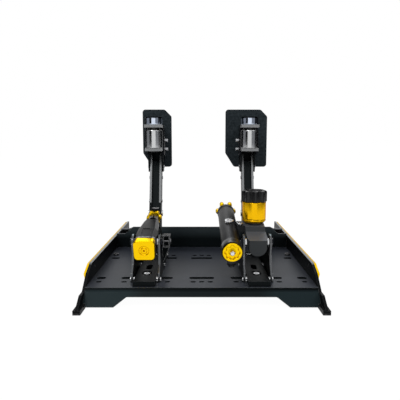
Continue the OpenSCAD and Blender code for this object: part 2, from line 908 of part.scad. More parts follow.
module arm_plates() color("#26272a")
    for (side = [left, right]) {
        x0 = side > 0 ? arm_gap / 2 : -arm_w / 2;
        on_arm() difference() {
            side_sheet(x0, x0 + arm_t) difference() {
                arm_profile();
                arm_window(pivot_r + window_edge, clevis_len - clevis_r - window_edge);
            }
            rod_x(pivot_r + fit, x0 - over, x0 + arm_t + over);
            translate([0, 0, clevis_len]) rod_x(clevis_r, x0 - over, x0 + arm_t + over);
            for (s = concat(core_screw_s, pad_bolt_s))
                translate([0, 0, s]) rod_x(screw_r, x0 - over, x0 + arm_t + over);
        }
    }

// Bar between the arm plates above the clevis, with a shallow pocket near its top
module arm_core() color("#1a1b1d")
    on_arm() difference() {
        translate([-arm_gap / 2, -core_front, core_low])
            cube([arm_gap, core_front + core_back, core_high - core_low]);
        translate([-pocket_w / 2, -core_front - over, pocket_s - pocket_len / 2])
            cube([pocket_w, pocket_d + over, pocket_len]);
        for (s = core_screw_s) translate([0, 0, s]) rod_x(screw_r, -arm_w, arm_w);
    }

// Clevis bolt across the two arm plates
module clevis_pin() color("#d4d6da")
    on_arm()
        translate([0, 0, clevis_len]) {
            rod_x(clevis_r, -arm_w / 2, arm_w / 2);
            for (side = [left, right])
                translate([side * arm_w / 2, 0, 0])
                    rotate([0, 90 * side, 0]) difference() {
                        cylinder(r = clevis_r + 2, h = clevis_head_h);
                        translate([0, 0, clevis_head_h / 2])
                            cylinder(r = clevis_r / 2, h = clevis_head_h, $fn = 6);
                    }
        }

// Pad bracket: two ears on the arm, a rear flange for the face plate and a front web for the motor
module pad_bracket() color("#202124") {
    foot_y = arm_point(pad_bolt_s[0])[0];
    difference() {
        union() {
            for (side = [left, right]) {
                x0 = side > 0 ? arm_w / 2 : -ear_out;
                side_sheet(x0, x0 + ear_t)
                    polygon([
                        [foot_y - ear_reach, ear_low],
                        [foot_y + ear_reach, ear_low],
                        [flange_back + over, flange_low],
                        [flange_back + over, ear_top],
                        [pad_front - over, ear_top],
                        [pad_front - over, flange_low]
                    ]);
            }
            translate([-ear_out, flange_back, flange_low])
                cube([2 * ear_out, pad_sheet_t, ear_top - flange_low]);
            translate([-ear_out, mount_y, motor_z - mount_t])
                cube([2 * ear_out, pad_sheet_t, ear_top - motor_z + mount_t]);
        }
        for (z = plate_bolt_z, side = [left, right])
            translate([side * plate_bolt_x / 2, 0, z])
                rod_y(plate_screw_r, flange_back - over, plate_y + over);
        for (s = pad_bolt_s) at_point(arm_point(s)) rod_x(screw_r, -ear_out - over, ear_out + over);
        for (z = wing_bolt_z) at_point([wing_bolt_y, z]) rod_x(screw_r, -ear_out - over, ear_out + over);
    }
}

module face_plate(width) color("#161718") {
    half = width / 2;
    low = plate_z - plate_h / 2;
    high = plate_z + plate_h / 2;
    back = plate_y + plate_t;
    difference() {
        translate([0, back, 0])
            rotate([90, 0, 0])
                linear_extrude(plate_t)
                    polygon(round_outline([
                        [-half, low + cut_low[1]], [-half, high], [half - cut_high[0], high],
                        [half, high - cut_high[1]], [half, low], [-half + cut_low[0], low]
                    ], plate_corner_r));
        for (z = plate_bolt_z, side = [left, right])
            translate([side * plate_bolt_x / 2, 0, z]) {
                rod_y(plate_screw_r, plate_y - over, back + over);
                cone_y(plate_screw_r, plate_head_r + gap, back - plate_head_h, back + gap);
            }
    }
}

// Countersunk plate bolts with their nuts, and the bolts through ears, arm, core and motor mount,
// which have tall heads on the inner side and low ones on the other
module pad_bolts(inner) color("#d4d6da") {
    back = plate_y + plate_t;
    for (z = plate_bolt_z, side = [left, right])
        translate([side * plate_bolt_x / 2, 0, z]) {
            rod_y(plate_screw_r, flange_back - nut_h - 1, back - plate_head_h);
            cone_y(plate_screw_r, plate_head_r - fit, back - plate_head_h, back - fit);
            difference() {
                translate([0, flange_back - nut_h, 0])
                    rotate([-90, 0, 0]) cylinder(r = plate_screw_r + nut_step, h = nut_h, $fn = 6);
                rod_y(plate_screw_r, flange_back - nut_h - over, plate_y);
            }
        }
    for (side = [left, right]) {
        for (s = pad_bolt_s)
            at_point(arm_point(s))
                translate([side * ear_out, 0, 0])
                    rotate([0, 90 * side, 0])
                        socket_bolt(screw_r, screw_head_r, screw_head_h, -ear_t - arm_t, 0);
        for (s = core_screw_s)
            at_point(arm_point(s))
                translate([side * arm_w / 2, 0, 0])
                    rotate([0, 90 * side, 0])
                        socket_bolt(screw_r, screw_head_r, screw_head_h, -arm_t - arm_gap / 4, 0);
        for (z = wing_bolt_z)
            at_point([wing_bolt_y, z])
                translate([side * wing_out, 0, 0])
                    rotate([0, 90 * side, 0])
                        socket_bolt(screw_r, wing_head_r, side == inner ? wing_head_h : wing_low_h,
                            -wing_t - ear_t, 0);
    }
}

// Motor mount: a back with a flat bar over and under the motor, and a wing on each ear
module motor_mount() color("#9a9da1") {
    back = mount_y - wing_t;
    front = motor_y - motor_r - mount_lip;
    top_half = motor_r - top_flange_step;
    low_half = motor_r - low_flange_step;
    difference() {
        union() {
            translate([-wing_out, back, motor_z - mount_t])
                cube([2 * wing_out, wing_t, motor_h + 2 * mount_t]);
            translate([-top_half, front, motor_top]) cube([2 * top_half, mount_y - front, mount_t]);
            translate([-low_half, front, motor_z - mount_t]) cube([2 * low_half, mount_y - front, mount_t]);
            for (side = [left, right])
                translate([side > 0 ? ear_out : -wing_out, back, wing_low])
                    cube([wing_t, wing_back - back, wing_high - wing_low]);
        }
        translate([0, motor_y, motor_top - over]) cylinder(r = shaft_r + 2, h = mount_t + 2 * over);
        translate([0, motor_y, motor_z - mount_t - over])
            cylinder(r = motor_boss_r + gap, h = mount_t + 2 * over);
        for (z = wing_bolt_z) at_point([wing_bolt_y, z]) rod_x(screw_r, -wing_out - over, wing_out + over);
    }
}

module motor() color("#4a4d52") {
    shoulder = motor_h - motor_neck_h;
    translate([0, motor_y, 0]) {
        translate([0, 0, motor_z])
            rotate_extrude()
                polygon([
                    [0, 0], [motor_r - motor_edge, 0], [motor_r, motor_edge],
                    [motor_r, shoulder - motor_edge], [motor_r - motor_edge, shoulder],
                    [motor_neck_r, shoulder], [motor_neck_r, motor_h], [0, motor_h]
                ]);
        translate([0, 0, motor_z - mount_t - motor_boss_h])
            cylinder(r = motor_boss_r, h = mount_t + motor_boss_h);
        translate([0, 0, motor_top]) cylinder(r = shaft_r, h = shaft_up - motor_top);
    }
}

// Half-round weight on the motor's shaft
module motor_weight() color("#c4c7cc") {
    translate([0, motor_y, mount_top + weight_room])
        difference() {
            union() {
                cylinder(r = shaft_r + weight_hub, h = weight_h);
                intersection() {
                    cylinder(r = weight_r, h = weight_h);
                    translate([-weight_r, -weight_r, 0]) cube([2 * weight_r, weight_r, weight_h]);
                }
            }
            translate([0, 0, -over]) cylinder(r = shaft_r + fit, h = weight_h + 2 * over);
        }
}

// Clear cap over the weight, with a round upper edge
module motor_cover() color("#cfe0ea", 0.5) {
    r = motor_r - cover_step;
    inner = r - cover_wall;
    under = cover_h - cover_wall;
    translate([0, motor_y, mount_top])
        rotate_extrude()
            polygon(concat(
                [[inner, 0], [r, 0]],
                corner_round([r, 0], [r, cover_h], [0, cover_h], cover_edge_r),
                [[0, cover_h], [0, under], [inner - cover_edge_r, under], [inner, under - cover_edge_r]]
            ));
}

// Square outline with cut corners
module cut_square(width, cut) {
    h = width / 2;
    polygon([
        [-h, -h + cut], [-h, h - cut], [-h + cut, h], [h - cut, h],
        [h, h - cut], [h, -h + cut], [h - cut, -h], [-h + cut, -h]
    ]);
}

module square_bar(width, cut, y0, y1)
    translate([0, y1, 0]) rotate([90, 0, 0]) linear_extrude(y1 - y0) cut_square(width, cut);

// Square outline with round corners
module round_square(width, r) {
    h = width / 2;
    square([width, width - 2 * r], center = true);
    square([width - 2 * r, width], center = true);
    for (x = [-h + r, h - r], y = [-h + r, h - r]) translate([x, y]) circle(r = r);
}

module round_bar(width, r, y0, y1)
    translate([0, y1, 0]) rotate([90, 0, 0]) linear_extrude(y1 - y0) round_square(width, r);

// Spring cartridge that swings on the trunnion pins, square behind and narrowing to its front
module cartridge_housing() color("#43464b") {
    on_axis() difference() {
        union() {
            square_bar(cart_w, cart_cut, -cart_rear, cart_square);
            hull() {
                square_bar(cart_w, cart_cut, cart_square - over, cart_square);
                square_bar(cart_nose_w, cart_cut, cart_nose - over, cart_nose);
            }
        }
        rod_y(cart_bore_r, -cart_rear - over, cart_bore_end);
        rod_y(rod_r + fit, -cart_rear, cart_nose + over);
        for (side = [left, right])
            rod_x(trunnion_r + fit,
                side > 0 ? cart_w / 2 - trunnion_depth : -cart_w / 2 - over,
                side > 0 ? cart_w / 2 + over : -cart_w / 2 + trunnion_depth);
        translate([0, 0, cart_w / 2 - cart_pocket_d]) {
            translate([0, -cart_rear / 3, 0]) cylinder(r = cart_pocket_r, h = cart_w);
            translate([-cart_pocket_r, -cart_rear / 3, 0])
                cube([2 * cart_pocket_r, cart_square + cart_rear / 3, cart_w]);
        }
    }
}

// Gold rounded cap with a round groove and a middle screw hole
module cartridge_end_cap() color("#e0a010") {
    face = -cart_rear - end_cap_t;
    on_axis() difference() {
        union() {
            round_bar(cart_w, cap_round, face + cap_lip, -cart_rear);
            round_bar(cart_w - 2 * cap_inset, cap_round - cap_inset, face, face + cap_lip);
        }
        difference() {
            rod_y(dimple_r, face - over, face + dimple_d);
            rod_y(dimple_core_r, face - 2 * over, face + 2 * dimple_d);
        }
        rod_y(screw_r, face - over, face + cap_screw_d);
    }
}

// Sliding rod with its piston, neck and eye
module cartridge_rod() color("#2a2b2e") {
    on_axis() difference() {
        union() {
            rod_y(cart_bore_r - gap, piston_start, piston_start + piston_t);
            rod_y(rod_r, piston_start, neck_start + over);
            rod_y(neck_r, neck_start, ring_end + neck_over);
            rod_y(rod_r, ring_end, rod_len - eye_r);
            rod_eye();
        }
        translate([0, rod_len, 0]) rod_x(clevis_r + eye_gap, -eye_w, eye_w);
    }
}

// Eye on the end of a rod, between the arm plates
module rod_eye() {
    shank = eye_r + eye_shank;
    flat = eye_r - eye_flat;
    translate([-eye_w / 2, rod_len - shank, -flat]) cube([eye_w, shank, 2 * flat]);
    translate([0, rod_len, 0]) rod_x(eye_r, -eye_w / 2, eye_w / 2);
}

// Outline of a hand ring: a disc with round lobes
module lobed_disc(r, lobes, lobe_r, core_r) {
    circle(r = core_r);
    for (k = [0:lobes - 1]) rotate(k * 360 / lobes) translate([r - lobe_r, 0]) circle(r = lobe_r);
}

// Lobed preload ring on the rod's neck
module preload_ring() color("#e0a010") {
    on_axis()
        translate([0, ring_end, 0])
            rotate([90, 0, 0])
                linear_extrude(ring_t)
                    difference() {
                        lobed_disc(ring_r, 6, ring_lobe_r, ring_core_r);
                        circle(r = neck_r + fit);
                    }
}

// Spring: points of the wire's middle line, turning about the axis, with a straight end each side
spring_steps = spring_turns * 8;
wire_d = 2 * wire_r;
coil_len = spring_len - 4 * wire_d;
function coil_point(angle, along) = [spring_r * cos(angle), along, spring_r * sin(angle)];
spring_path = concat(
    [coil_point(-45, spring_start), coil_point(-45, spring_start + wire_d)],
    [for (k = [0:spring_steps])
        coil_point(k * 45, spring_start + 2 * wire_d + coil_len * k / spring_steps)],
    [coil_point(spring_steps * 45 + 45, spring_start + spring_len - wire_d),
     coil_point(spring_steps * 45 + 45, spring_start + spring_len)]
);
spring_count = len(spring_path);
function path_way(k) = unit(spring_path[min(k + 1, spring_count - 1)] - spring_path[max(k - 1, 0)]);
function out_way(k) = unit([spring_path[k][0], 0, spring_path[k][2]]);
function wire_ring(k) =
    let (way = path_way(k), out = unit(out_way(k) - way * (out_way(k) * way)), across = cross(way, out))
    [for (c = [0:5]) spring_path[k] + wire_r * (cos(c * 60) * out + sin(c * 60) * across)];
spring_gap = min([
    for (a = [0:spring_count - 7], b = [a + 6:spring_count - 1]) norm(spring_path[a] - spring_path[b])
]) - wire_d;
echo(spring_least_gap = spring_gap);

module cartridge_spring() color("#aeb2b8") {
    last = spring_count - 1;
    on_axis() polyhedron(
        points = [for (k = [0:last]) each wire_ring(k)],
        faces = concat(
            [for (c = [1:4]) [0, c, c + 1]],
            [for (k = [0:last - 1], c = [0:5]) [6 * k + c, 6 * k + 6 + c, 6 * k + (c + 1) % 6]],
            [for (k = [0:last - 1], c = [0:5])
                [6 * k + (c + 1) % 6, 6 * k + 6 + c, 6 * k + 6 + (c + 1) % 6]],
            [for (c = [1:4]) [6 * last, 6 * last + c + 1, 6 * last + c]]
        ));
}

// Open frame on the outside of the throttle bracket's inner plate, with a gusset under it
module sensor_bracket() color("#2b2c2f") {
    x0 = bracket_w / 2;
    front = sensor_y - sensor_frame_d;
    difference() {
        union() {
            translate([x0, front, sensor_low]) cube([sensor_reach, sensor_frame_d, sensor_h]);
            translate([x0, sensor_y, 0])
                rotate([90, 0, 0])
                    linear_extrude(sensor_sheet)
                        polygon([
                            [0, gusset_low], [sensor_sheet, gusset_low],
                            [sensor_reach, sensor_low + sensor_sheet], [0, sensor_low + sensor_sheet]
                        ]);
        }
        translate([x0 + sensor_sheet, front - over, sensor_low + sensor_sheet])
            cube([
                sensor_reach - 2 * sensor_sheet,
                sensor_frame_d - sensor_sheet + over,
                sensor_h - 2 * sensor_sheet
            ]);
        at_point([sensor_bolt_y(), sensor_bolt_z()])
            rod_x(sensor_bolt_r, x0 - over, x0 + sensor_reach + over);
    }
}

// Position sensor behind the frame, with a bare socket for its lead
module sensor_body() color("#17181a") {
    x0 = bracket_w / 2 + gap;
    width = sensor_reach - gap;
    low = sensor_low + sensor_body_edge;
    high = sensor_low + sensor_h - sensor_body_edge;
    back = sensor_y + sensor_body_len;
    difference() {
        translate([x0, sensor_y, low]) cube([width, sensor_body_len, high - low]);
        translate([x0 + socket_edge, back - socket_d, low + socket_edge])
            cube([width - 2 * socket_edge, socket_d + over, high - low - 2 * socket_edge]);
    }
}

// Master cylinder block with the reservoir's foot, and the link block to the side cylinder
module master_cylinder() color("#1c1d20") {
    half = master_w / 2;
    nose_r = half - master_step;
    body_end = master_front - gland_t;
    difference() {
        union() {
            on_axis() {
                side_sheet(-half, half)
                    polygon([
                        [-shoulder_rear, -shoulder_low], [-shoulder_rear, nose_top], [ramp_start, nose_top],
                        [ramp_start + master_top - nose_top, master_top], [body_end, master_top],
                        [body_end, -master_low], [nose_end, -master_low]
                    ]);
                translate([0, 0, nose_top - lip_t])
                    linear_extrude(lip_t)
                        polygon([
                            [-nose_r, -master_rear], [nose_r, -master_rear],
                            [half, -shoulder_rear], [-half, -shoulder_rear]
                        ]);
                translate([0, nose_end, 0])
                    rotate([90, 0, 0])
                        linear_extrude(nose_end + master_rear) {
                            translate([-nose_r, -nose_drop]) square([2 * nose_r, nose_drop + nose_top]);
                            intersection() {
                                translate([0, -nose_drop]) circle(r = nose_r);
                                translate([-nose_r, -nose_drop - nose_r])
                                    square([2 * nose_r, nose_r + over]);
                            }
                        }
                rod_y(half - gland_step, body_end - over, master_front);
                translate([slave_x + slave_r - link_sink, link_mid - link_half, slave_lift + 1])
                    cube([slave_off - slave_r + link_sink - half + over, 2 * link_half, link_h]);
            }
            translate([0, res_y, res_z - res_foot_h]) cylinder(r = res_foot_r, h = res_foot_h);
        }
        on_axis() {
            rod_y(master_bore_r, bore_start, master_front - bore_edge);
            rod_y(rod_r + fit, bore_start, master_front + over);
            for (side = [left, right])
                rod_x(trunnion_r + fit,
                    side > 0 ? half - trunnion_depth : -half - over,
                    side > 0 ? half + over : -half + trunnion_depth);
            translate([slave_x, link_mid, slave_lift]) rod_y(slave_r, -2 * link_half, 2 * link_half);
        }
    }
}

// Push rod with its piston in the master bore and an eye on the clevis pin
module push_rod() color("#b4b7bc") {
    on_axis() difference() {
        union() {
            rod_y(master_bore_r - gap, master_piston_y, master_piston_y + master_piston_t);
            rod_y(rod_r, master_piston_y, rod_len - eye_r + eye_flat);
            translate([0, ring_end - lock_nut_h, 0])
                rotate([-90, 0, 0]) cylinder(r = rod_r + nut_step, h = lock_nut_h, $fn = 6);
            rod_eye();
        }
        translate([0, rod_len, 0]) rod_x(clevis_r + eye_gap, -eye_w, eye_w);
    }
}

module reservoir() color("#e0a010") {
    foot = 4;
    inner = res_r - res_wall;
    translate([0, res_y, res_z])
        rotate_extrude()
            polygon([
                [0, 0], [res_r - foot, 0], [res_r - foot / 4, foot], [res_r, 2 * foot], [res_r, res_h],
                [inner, res_h], [inner, res_floor], [0, res_floor]
            ]);
}

// Black screw cap with broad lobes and a recessed top
module reservoir_cap() color("#141516") {
    cap_r = res_r + cap_step;
    translate([0, res_y, res_z + res_h]) difference() {
        union() {
            linear_extrude(res_cap_h - cap_top_h / 2)
                lobed_disc(cap_r, 8, cap_lobe_r, cap_r - cap_core_step);
            cylinder(r = cap_r - cap_core_step, h = res_cap_h);
            translate([0, 0, -cap_plug_h]) cylinder(r = res_r - res_wall - fit, h = cap_plug_h + over);
        }
        translate([0, 0, res_cap_h - cap_top_h]) cylinder(r = cap_r - cap_rim, h = cap_top_h + over);
        translate([0, 0, -cap_plug_h - over]) cylinder(r = res_r - cap_rim, h = cap_plug_h + cap_rim);
    }
}

// Side cylinder: a tube with an end ring each side, holding the piston and the elastomer stack
module side_cylinder() color("#34363a") {
    near = -slave_rear - near_ring_lap;
    far = slave_front + far_ring_t - over;
    on_axis() translate([slave_x, 0, slave_lift]) difference() {
        union() {
            rod_y(slave_r, -slave_rear, slave_front);
            rod_y(near_ring_r, near, near + near_ring_t);
            rod_y(slave_r + far_ring_step, slave_front - over, far);
        }
        rod_y(slave_bore_r, near + near_ring_t + slave_end_t, slave_front - slave_end_t);
        rod_y(knob_stem_r + fit, slave_front - slave_end_t - over, far + over);
        rod_y(near_stem_r + fit, near - over, near + 2 * slave_end_t);
        translate([0, link_mid, 0]) cylinder(r = bleed_port_r, h = slave_r + over);
        translate([0, near + near_ring_t / 2, -near_ring_r - over])
            cylinder(r = sensor_port_r, h = sensor_port_d + over);
    }
}

module side_piston() color("#9a9da1") {
    rear = stack_start - side_piston_t;
    on_axis() translate([slave_x, 0, slave_lift]) {
        rod_y(slave_bore_r - gap, rear, stack_start - gap);
        rod_y(side_piston_rod_r, rear - side_piston_rod, rear);
    }
}

// Stack of elastomer pucks, drawn in between them
module elastomer_stack() color("#b5402f") {
    pucks = 4;
    puck = (slave_front - slave_end_t - stack_step - stack_start) / pucks;
    on_axis() translate([slave_x, 0, slave_lift])
        for (k = [0:pucks - 1]) {
            start = stack_start + k * puck;
            rod_y(stack_r, start, start + puck - stack_step);
            rod_y(stack_r - stack_neck, start + puck - stack_step, start + puck);
        }
}

// Lobed preload knob at the driver end of the side cylinder
module far_knob() color("#e0a010") {
    seat = slave_front + far_ring_t - over + gap;
    on_axis() translate([slave_x, 0, slave_lift]) {
        translate([0, seat + knob_t, 0])
            rotate([90, 0, 0])
                linear_extrude(knob_t)
                    lobed_disc(far_knob_r, 8, far_lobe_r, far_core_r);
        rod_y(knob_stem_r, slave_front - knob_stem, seat + over);
    }
}

// Round knob at the front end, with a wavy recess round a middle stud
module near_knob() color("#e0a010") {
    seat = -slave_rear - near_ring_lap - gap;
    face = seat - near_face_t;
    on_axis() translate([slave_x, 0, slave_lift]) {
        difference() {
            rod_y(near_knob_r, face, seat);
            translate([0, face + near_recess_d, 0])
                rotate([90, 0, 0])
                    linear_extrude(near_recess_d + over)
                        lobed_disc(near_knob_r - near_rim, 8, near_lobe_r, near_core_r);
        }
        rod_y(near_stud_r, face + near_stud_set, seat);
        rod_y(near_stem_r, seat - over, -slave_rear + knob_stem);
    }
}

// Bleed plug, banjo bolt and hexagon pressure sensor on the brake's cylinders
module brake_fittings() color("#bfc2c7") {
    hex_y = -slave_rear - near_ring_lap + near_ring_t / 2;
    on_axis() {
        translate([slave_x, link_mid, slave_lift + slave_r]) difference() {
            union() {
                translate([0, 0, -bleed_port_d]) cylinder(r = bleed_port_r, h = bleed_port_d + over);
                cylinder(r = bleed_r, h = bleed_h);
            }
            translate([-bleed_r - over, -bleed_slot / 2, bleed_h - bleed_slot])
                cube([2 * (bleed_r + over), bleed_slot, bleed_slot + over]);
        }
        translate([slave_x + slave_r + banjo_x, link_mid - banjo_y, slave_lift + link_h + 1])
            socket_bolt(bolt_r, bolt_head_r, bolt_head_h, 0, washer_t);
        translate([slave_x, hex_y, slave_lift - near_ring_r - hex_h]) {
            cylinder(r = hex_r, h = hex_h, $fn = 6);
            cylinder(r = sensor_port_r, h = hex_h + hex_foot_h);
            translate([0, 0, -hex_foot_h]) cylinder(r = hex_foot_r, h = hex_foot_h);
        }
    }
}

base_tray();
heel_plate();
side_plate(left);  // side_plate_left
side_plate(right);  // side_plate_right
trim(left);  // trim_left
trim(right);  // trim_right
foot_strips();
base_bolts();
on_pedal(throttle_side) base_rail();  // throttle_base_rail
on_pedal(throttle_side) bracket_plate(left);  // throttle_bracket_left
on_pedal(throttle_side) bracket_plate(right);  // throttle_bracket_right
on_pedal(throttle_side) bracket_bolts();  // throttle_bracket_bolts
on_pedal(throttle_side) pivot_pin();  // throttle_pivot_pin
on_pedal(throttle_side) pivot_spacers();  // throttle_pivot_spacers
on_pedal(throttle_side) trunnion_pins(cart_w);  // throttle_trunnion_pins
on_pedal(throttle_side) arm_plates();  // throttle_arm_plates
on_pedal(throttle_side) arm_core();  // throttle_arm_core
on_pedal(throttle_side) clevis_pin();  // throttle_clevis_pin
on_pedal(throttle_side) pad_bracket();  // throttle_pad_bracket
on_pedal(throttle_side) face_plate(throttle_plate_w);  // throttle_face_plate
on_pedal(throttle_side) pad_bolts(right);  // throttle_pad_bolts
on_pedal(throttle_side) motor_mount();  // throttle_motor_mount
on_pedal(throttle_side) motor();  // throttle_motor
on_pedal(throttle_side) motor_weight();  // throttle_motor_weight
on_pedal(throttle_side) motor_cover();  // throttle_motor_cover
on_pedal(throttle_side) cartridge_housing();
on_pedal(throttle_side) cartridge_end_cap();
on_pedal(throttle_side) cartridge_spring();
on_pedal(throttle_side) cartridge_rod();
on_pedal(throttle_side) preload_ring();
on_pedal(throttle_side) sensor_bracket();
on_pedal(throttle_side) sensor_body();
on_pedal(brake_side) base_rail();  // brake_base_rail
on_pedal(brake_side) bracket_plate(left);  // brake_bracket_left
on_pedal(brake_side) bracket_plate(right);  // brake_bracket_right
on_pedal(brake_side) bracket_bolts();  // brake_bracket_bolts
on_pedal(brake_side) pivot_pin();  // brake_pivot_pin
on_pedal(brake_side) pivot_spacers();  // brake_pivot_spacers
on_pedal(brake_side) trunnion_pins(master_w);  // brake_trunnion_pins
on_pedal(brake_side) arm_plates();  // brake_arm_plates
on_pedal(brake_side) arm_core();  // brake_arm_core
on_pedal(brake_side) clevis_pin();  // brake_clevis_pin
on_pedal(brake_side) pad_bracket();  // brake_pad_bracket
on_pedal(brake_side) face_plate(brake_plate_w);  // brake_face_plate
on_pedal(brake_side) pad_bolts(left);  // brake_pad_bolts
on_pedal(brake_side) motor_mount();  // brake_motor_mount
on_pedal(brake_side) motor();  // brake_motor
on_pedal(brake_side) motor_weight();  // brake_motor_weight
on_pedal(brake_side) motor_cover();  // brake_motor_cover
on_pedal(brake_side) master_cylinder();
on_pedal(brake_side) push_rod();
on_pedal(brake_side) reservoir();
on_pedal(brake_side) reservoir_cap();
on_pedal(brake_side) side_cylinder();
on_pedal(brake_side) side_piston();
on_pedal(brake_side) elastomer_stack();
on_pedal(brake_side) far_knob();
on_pedal(brake_side) near_knob();
on_pedal(brake_side) brake_fittings();
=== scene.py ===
"""Looks of a two-pedal set for a driving simulator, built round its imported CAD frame.

Metres, +Z up, +Y towards the driver. Each class holds one sub-assembly: build stands finer turned, lobed
or wound pieces in for the CAD nodes that need them, and dress gives the other nodes their finishes.
"""
import functools
import json
import logging
import math
from dataclasses import dataclass, field, replace
from enum import Enum
from typing import Callable, Sequence

import bmesh
import bpy
import numpy as np
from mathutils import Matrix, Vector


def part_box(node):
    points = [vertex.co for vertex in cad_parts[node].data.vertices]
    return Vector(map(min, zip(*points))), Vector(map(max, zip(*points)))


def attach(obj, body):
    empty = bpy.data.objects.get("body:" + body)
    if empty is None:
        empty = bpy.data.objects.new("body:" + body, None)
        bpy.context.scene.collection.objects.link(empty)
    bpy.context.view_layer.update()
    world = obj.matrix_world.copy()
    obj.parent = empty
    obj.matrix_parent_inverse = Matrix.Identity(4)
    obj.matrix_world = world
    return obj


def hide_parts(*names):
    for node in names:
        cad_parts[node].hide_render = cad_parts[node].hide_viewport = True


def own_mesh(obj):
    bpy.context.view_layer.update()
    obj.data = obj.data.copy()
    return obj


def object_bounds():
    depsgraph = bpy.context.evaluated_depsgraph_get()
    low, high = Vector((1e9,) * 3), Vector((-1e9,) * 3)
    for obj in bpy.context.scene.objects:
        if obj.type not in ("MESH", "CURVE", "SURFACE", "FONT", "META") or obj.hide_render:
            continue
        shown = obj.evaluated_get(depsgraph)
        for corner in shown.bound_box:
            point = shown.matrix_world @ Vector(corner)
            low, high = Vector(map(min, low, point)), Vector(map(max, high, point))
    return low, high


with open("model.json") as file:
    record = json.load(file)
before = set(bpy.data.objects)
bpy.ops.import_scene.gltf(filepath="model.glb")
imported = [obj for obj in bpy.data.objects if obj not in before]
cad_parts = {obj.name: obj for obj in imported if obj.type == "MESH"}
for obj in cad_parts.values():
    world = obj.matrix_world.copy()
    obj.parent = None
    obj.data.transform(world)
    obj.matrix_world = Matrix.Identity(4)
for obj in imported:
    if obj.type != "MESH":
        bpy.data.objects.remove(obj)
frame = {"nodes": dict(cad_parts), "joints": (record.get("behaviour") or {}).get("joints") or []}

CAD_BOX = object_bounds()
JOINTS: dict[str, dict] = {joint["name"]: joint for joint in frame["joints"]}
LOG = logging.getLogger("pedal_set")
MM = 0.001

# Places that finishes change at, from the CAD nodes that they belong to
PEDAL_X = abs(JOINTS["throttle_press"]["pos_m"][0])
ARM_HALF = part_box("throttle_arm_plates")[1].x + PEDAL_X
BRACKET_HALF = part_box("throttle_bracket_right")[1].x + PEDAL_X
COVER_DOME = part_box("throttle_motor_cover")[1].z - 3.4 * MM
SIDE_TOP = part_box("side_plate_left")[1].z
FLOOR_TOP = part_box("throttle_base_rail")[0].z
SKIRT_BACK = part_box("base_tray")[0].y + 24.0 * MM
MOUNT_BACK = JOINTS["throttle_motor_spin"]["pos_m"][1] + 15.0 * MM

MIX_SOCKETS = (0, 6, 7)  # a Mix node's factor and its two colours
MIX_RESULT = 2
EDGE_TURN = 1.0 / 6.0  # fall of the normals' cosine over which an edge's mask rises
SHARP = 0.01 * MM  # width of a change that looks like a step
CREASE = math.radians(32.0)  # an edge that bends further stays sharp
MERGE = 1e-7  # points this near each other are one
BEVEL_SAMPLES = 4

# Start and width of masks on how far a face looks along an axis, from -1 to 1
LEVEL = (0.75, 0.25)  # Z of nearly level faces
UPWARD = (0.25, 0.125)  # Z of faces that look up at all
UPRIGHT = (0.9, -0.2)  # |Z| of upright and leaning faces
EDGEWAYS = (0.6, -0.125)  # |X| of a standing plate's narrow faces
FRONTWARD = (0.0, -0.25)  # Y of faces that look to the front

Array = np.ndarray
Colour = tuple[float, float, float]
Row = tuple[float, Array | float]  # length along an axis, and radius or radii
EVEN: Colour = (1.0, 1.0, 1.0)


class Pedal(Enum):
    """The two pedals, named as their CAD nodes are."""

    THROTTLE = "throttle"
    BRAKE = "brake"

    @property
    def body(self) -> str:
        """The CAD body that the pedal's arm belongs to."""
        return f"{self.value}_pedal"


class CutFaces(Enum):
    """Which faces of a sheet part show the bare cut edge of the metal. UPWARD keeps it to faces that look up, a
    painted highlight of lit top edges.
    """

    NONE = "none"
    ACROSS = "across"
    UPWARD = "upward"


class Measure(Enum):
    """What a finish's dark part is told by: a coordinate, or the distance from a pedal's middle plane."""

    DEPTH = "Y"
    HEIGHT = "Z"
    OFF_PEDAL = "off"


# Shader maths


def operator(operation: str, swapped: bool = False) -> Callable[["Value", "Value | float"], "Value"]:
    """Makes the method of Value for one of Python's operators.

    Args:
        operation: The Math node's operation.
        swapped: Whether the other term stands on the left.
    Returns:
        The method, which adds a Math node.
    """
    def method(value: "Value", other: "Value | float") -> "Value":
        """The operation's result."""
        return value.graph.math(operation, *((other, value) if swapped else (value, other)))

    return method


class Value:
    """A shader socket that Python's operators work on; each operation adds a Math node."""

    __add__ = __radd__ = operator("ADD")
    __mul__ = __rmul__ = operator("MULTIPLY")
    __sub__ = operator("SUBTRACT")
    __rsub__ = operator("SUBTRACT", swapped=True)
    __gt__ = operator("GREATER_THAN")

    def __init__(self, graph: "Graph", socket: bpy.types.NodeSocket) -> None:
        """Keeps the socket and the graph that it belongs to."""
        self.graph = graph
        self.socket = socket

    def __abs__(self) -> "Value":
        """Absolute value."""
        return self.graph.math("ABSOLUTE", self)


Sockets = dict[str, Value | float | tuple[float, ...]]
Tones = tuple[Value, Value | float, Value | Colour]


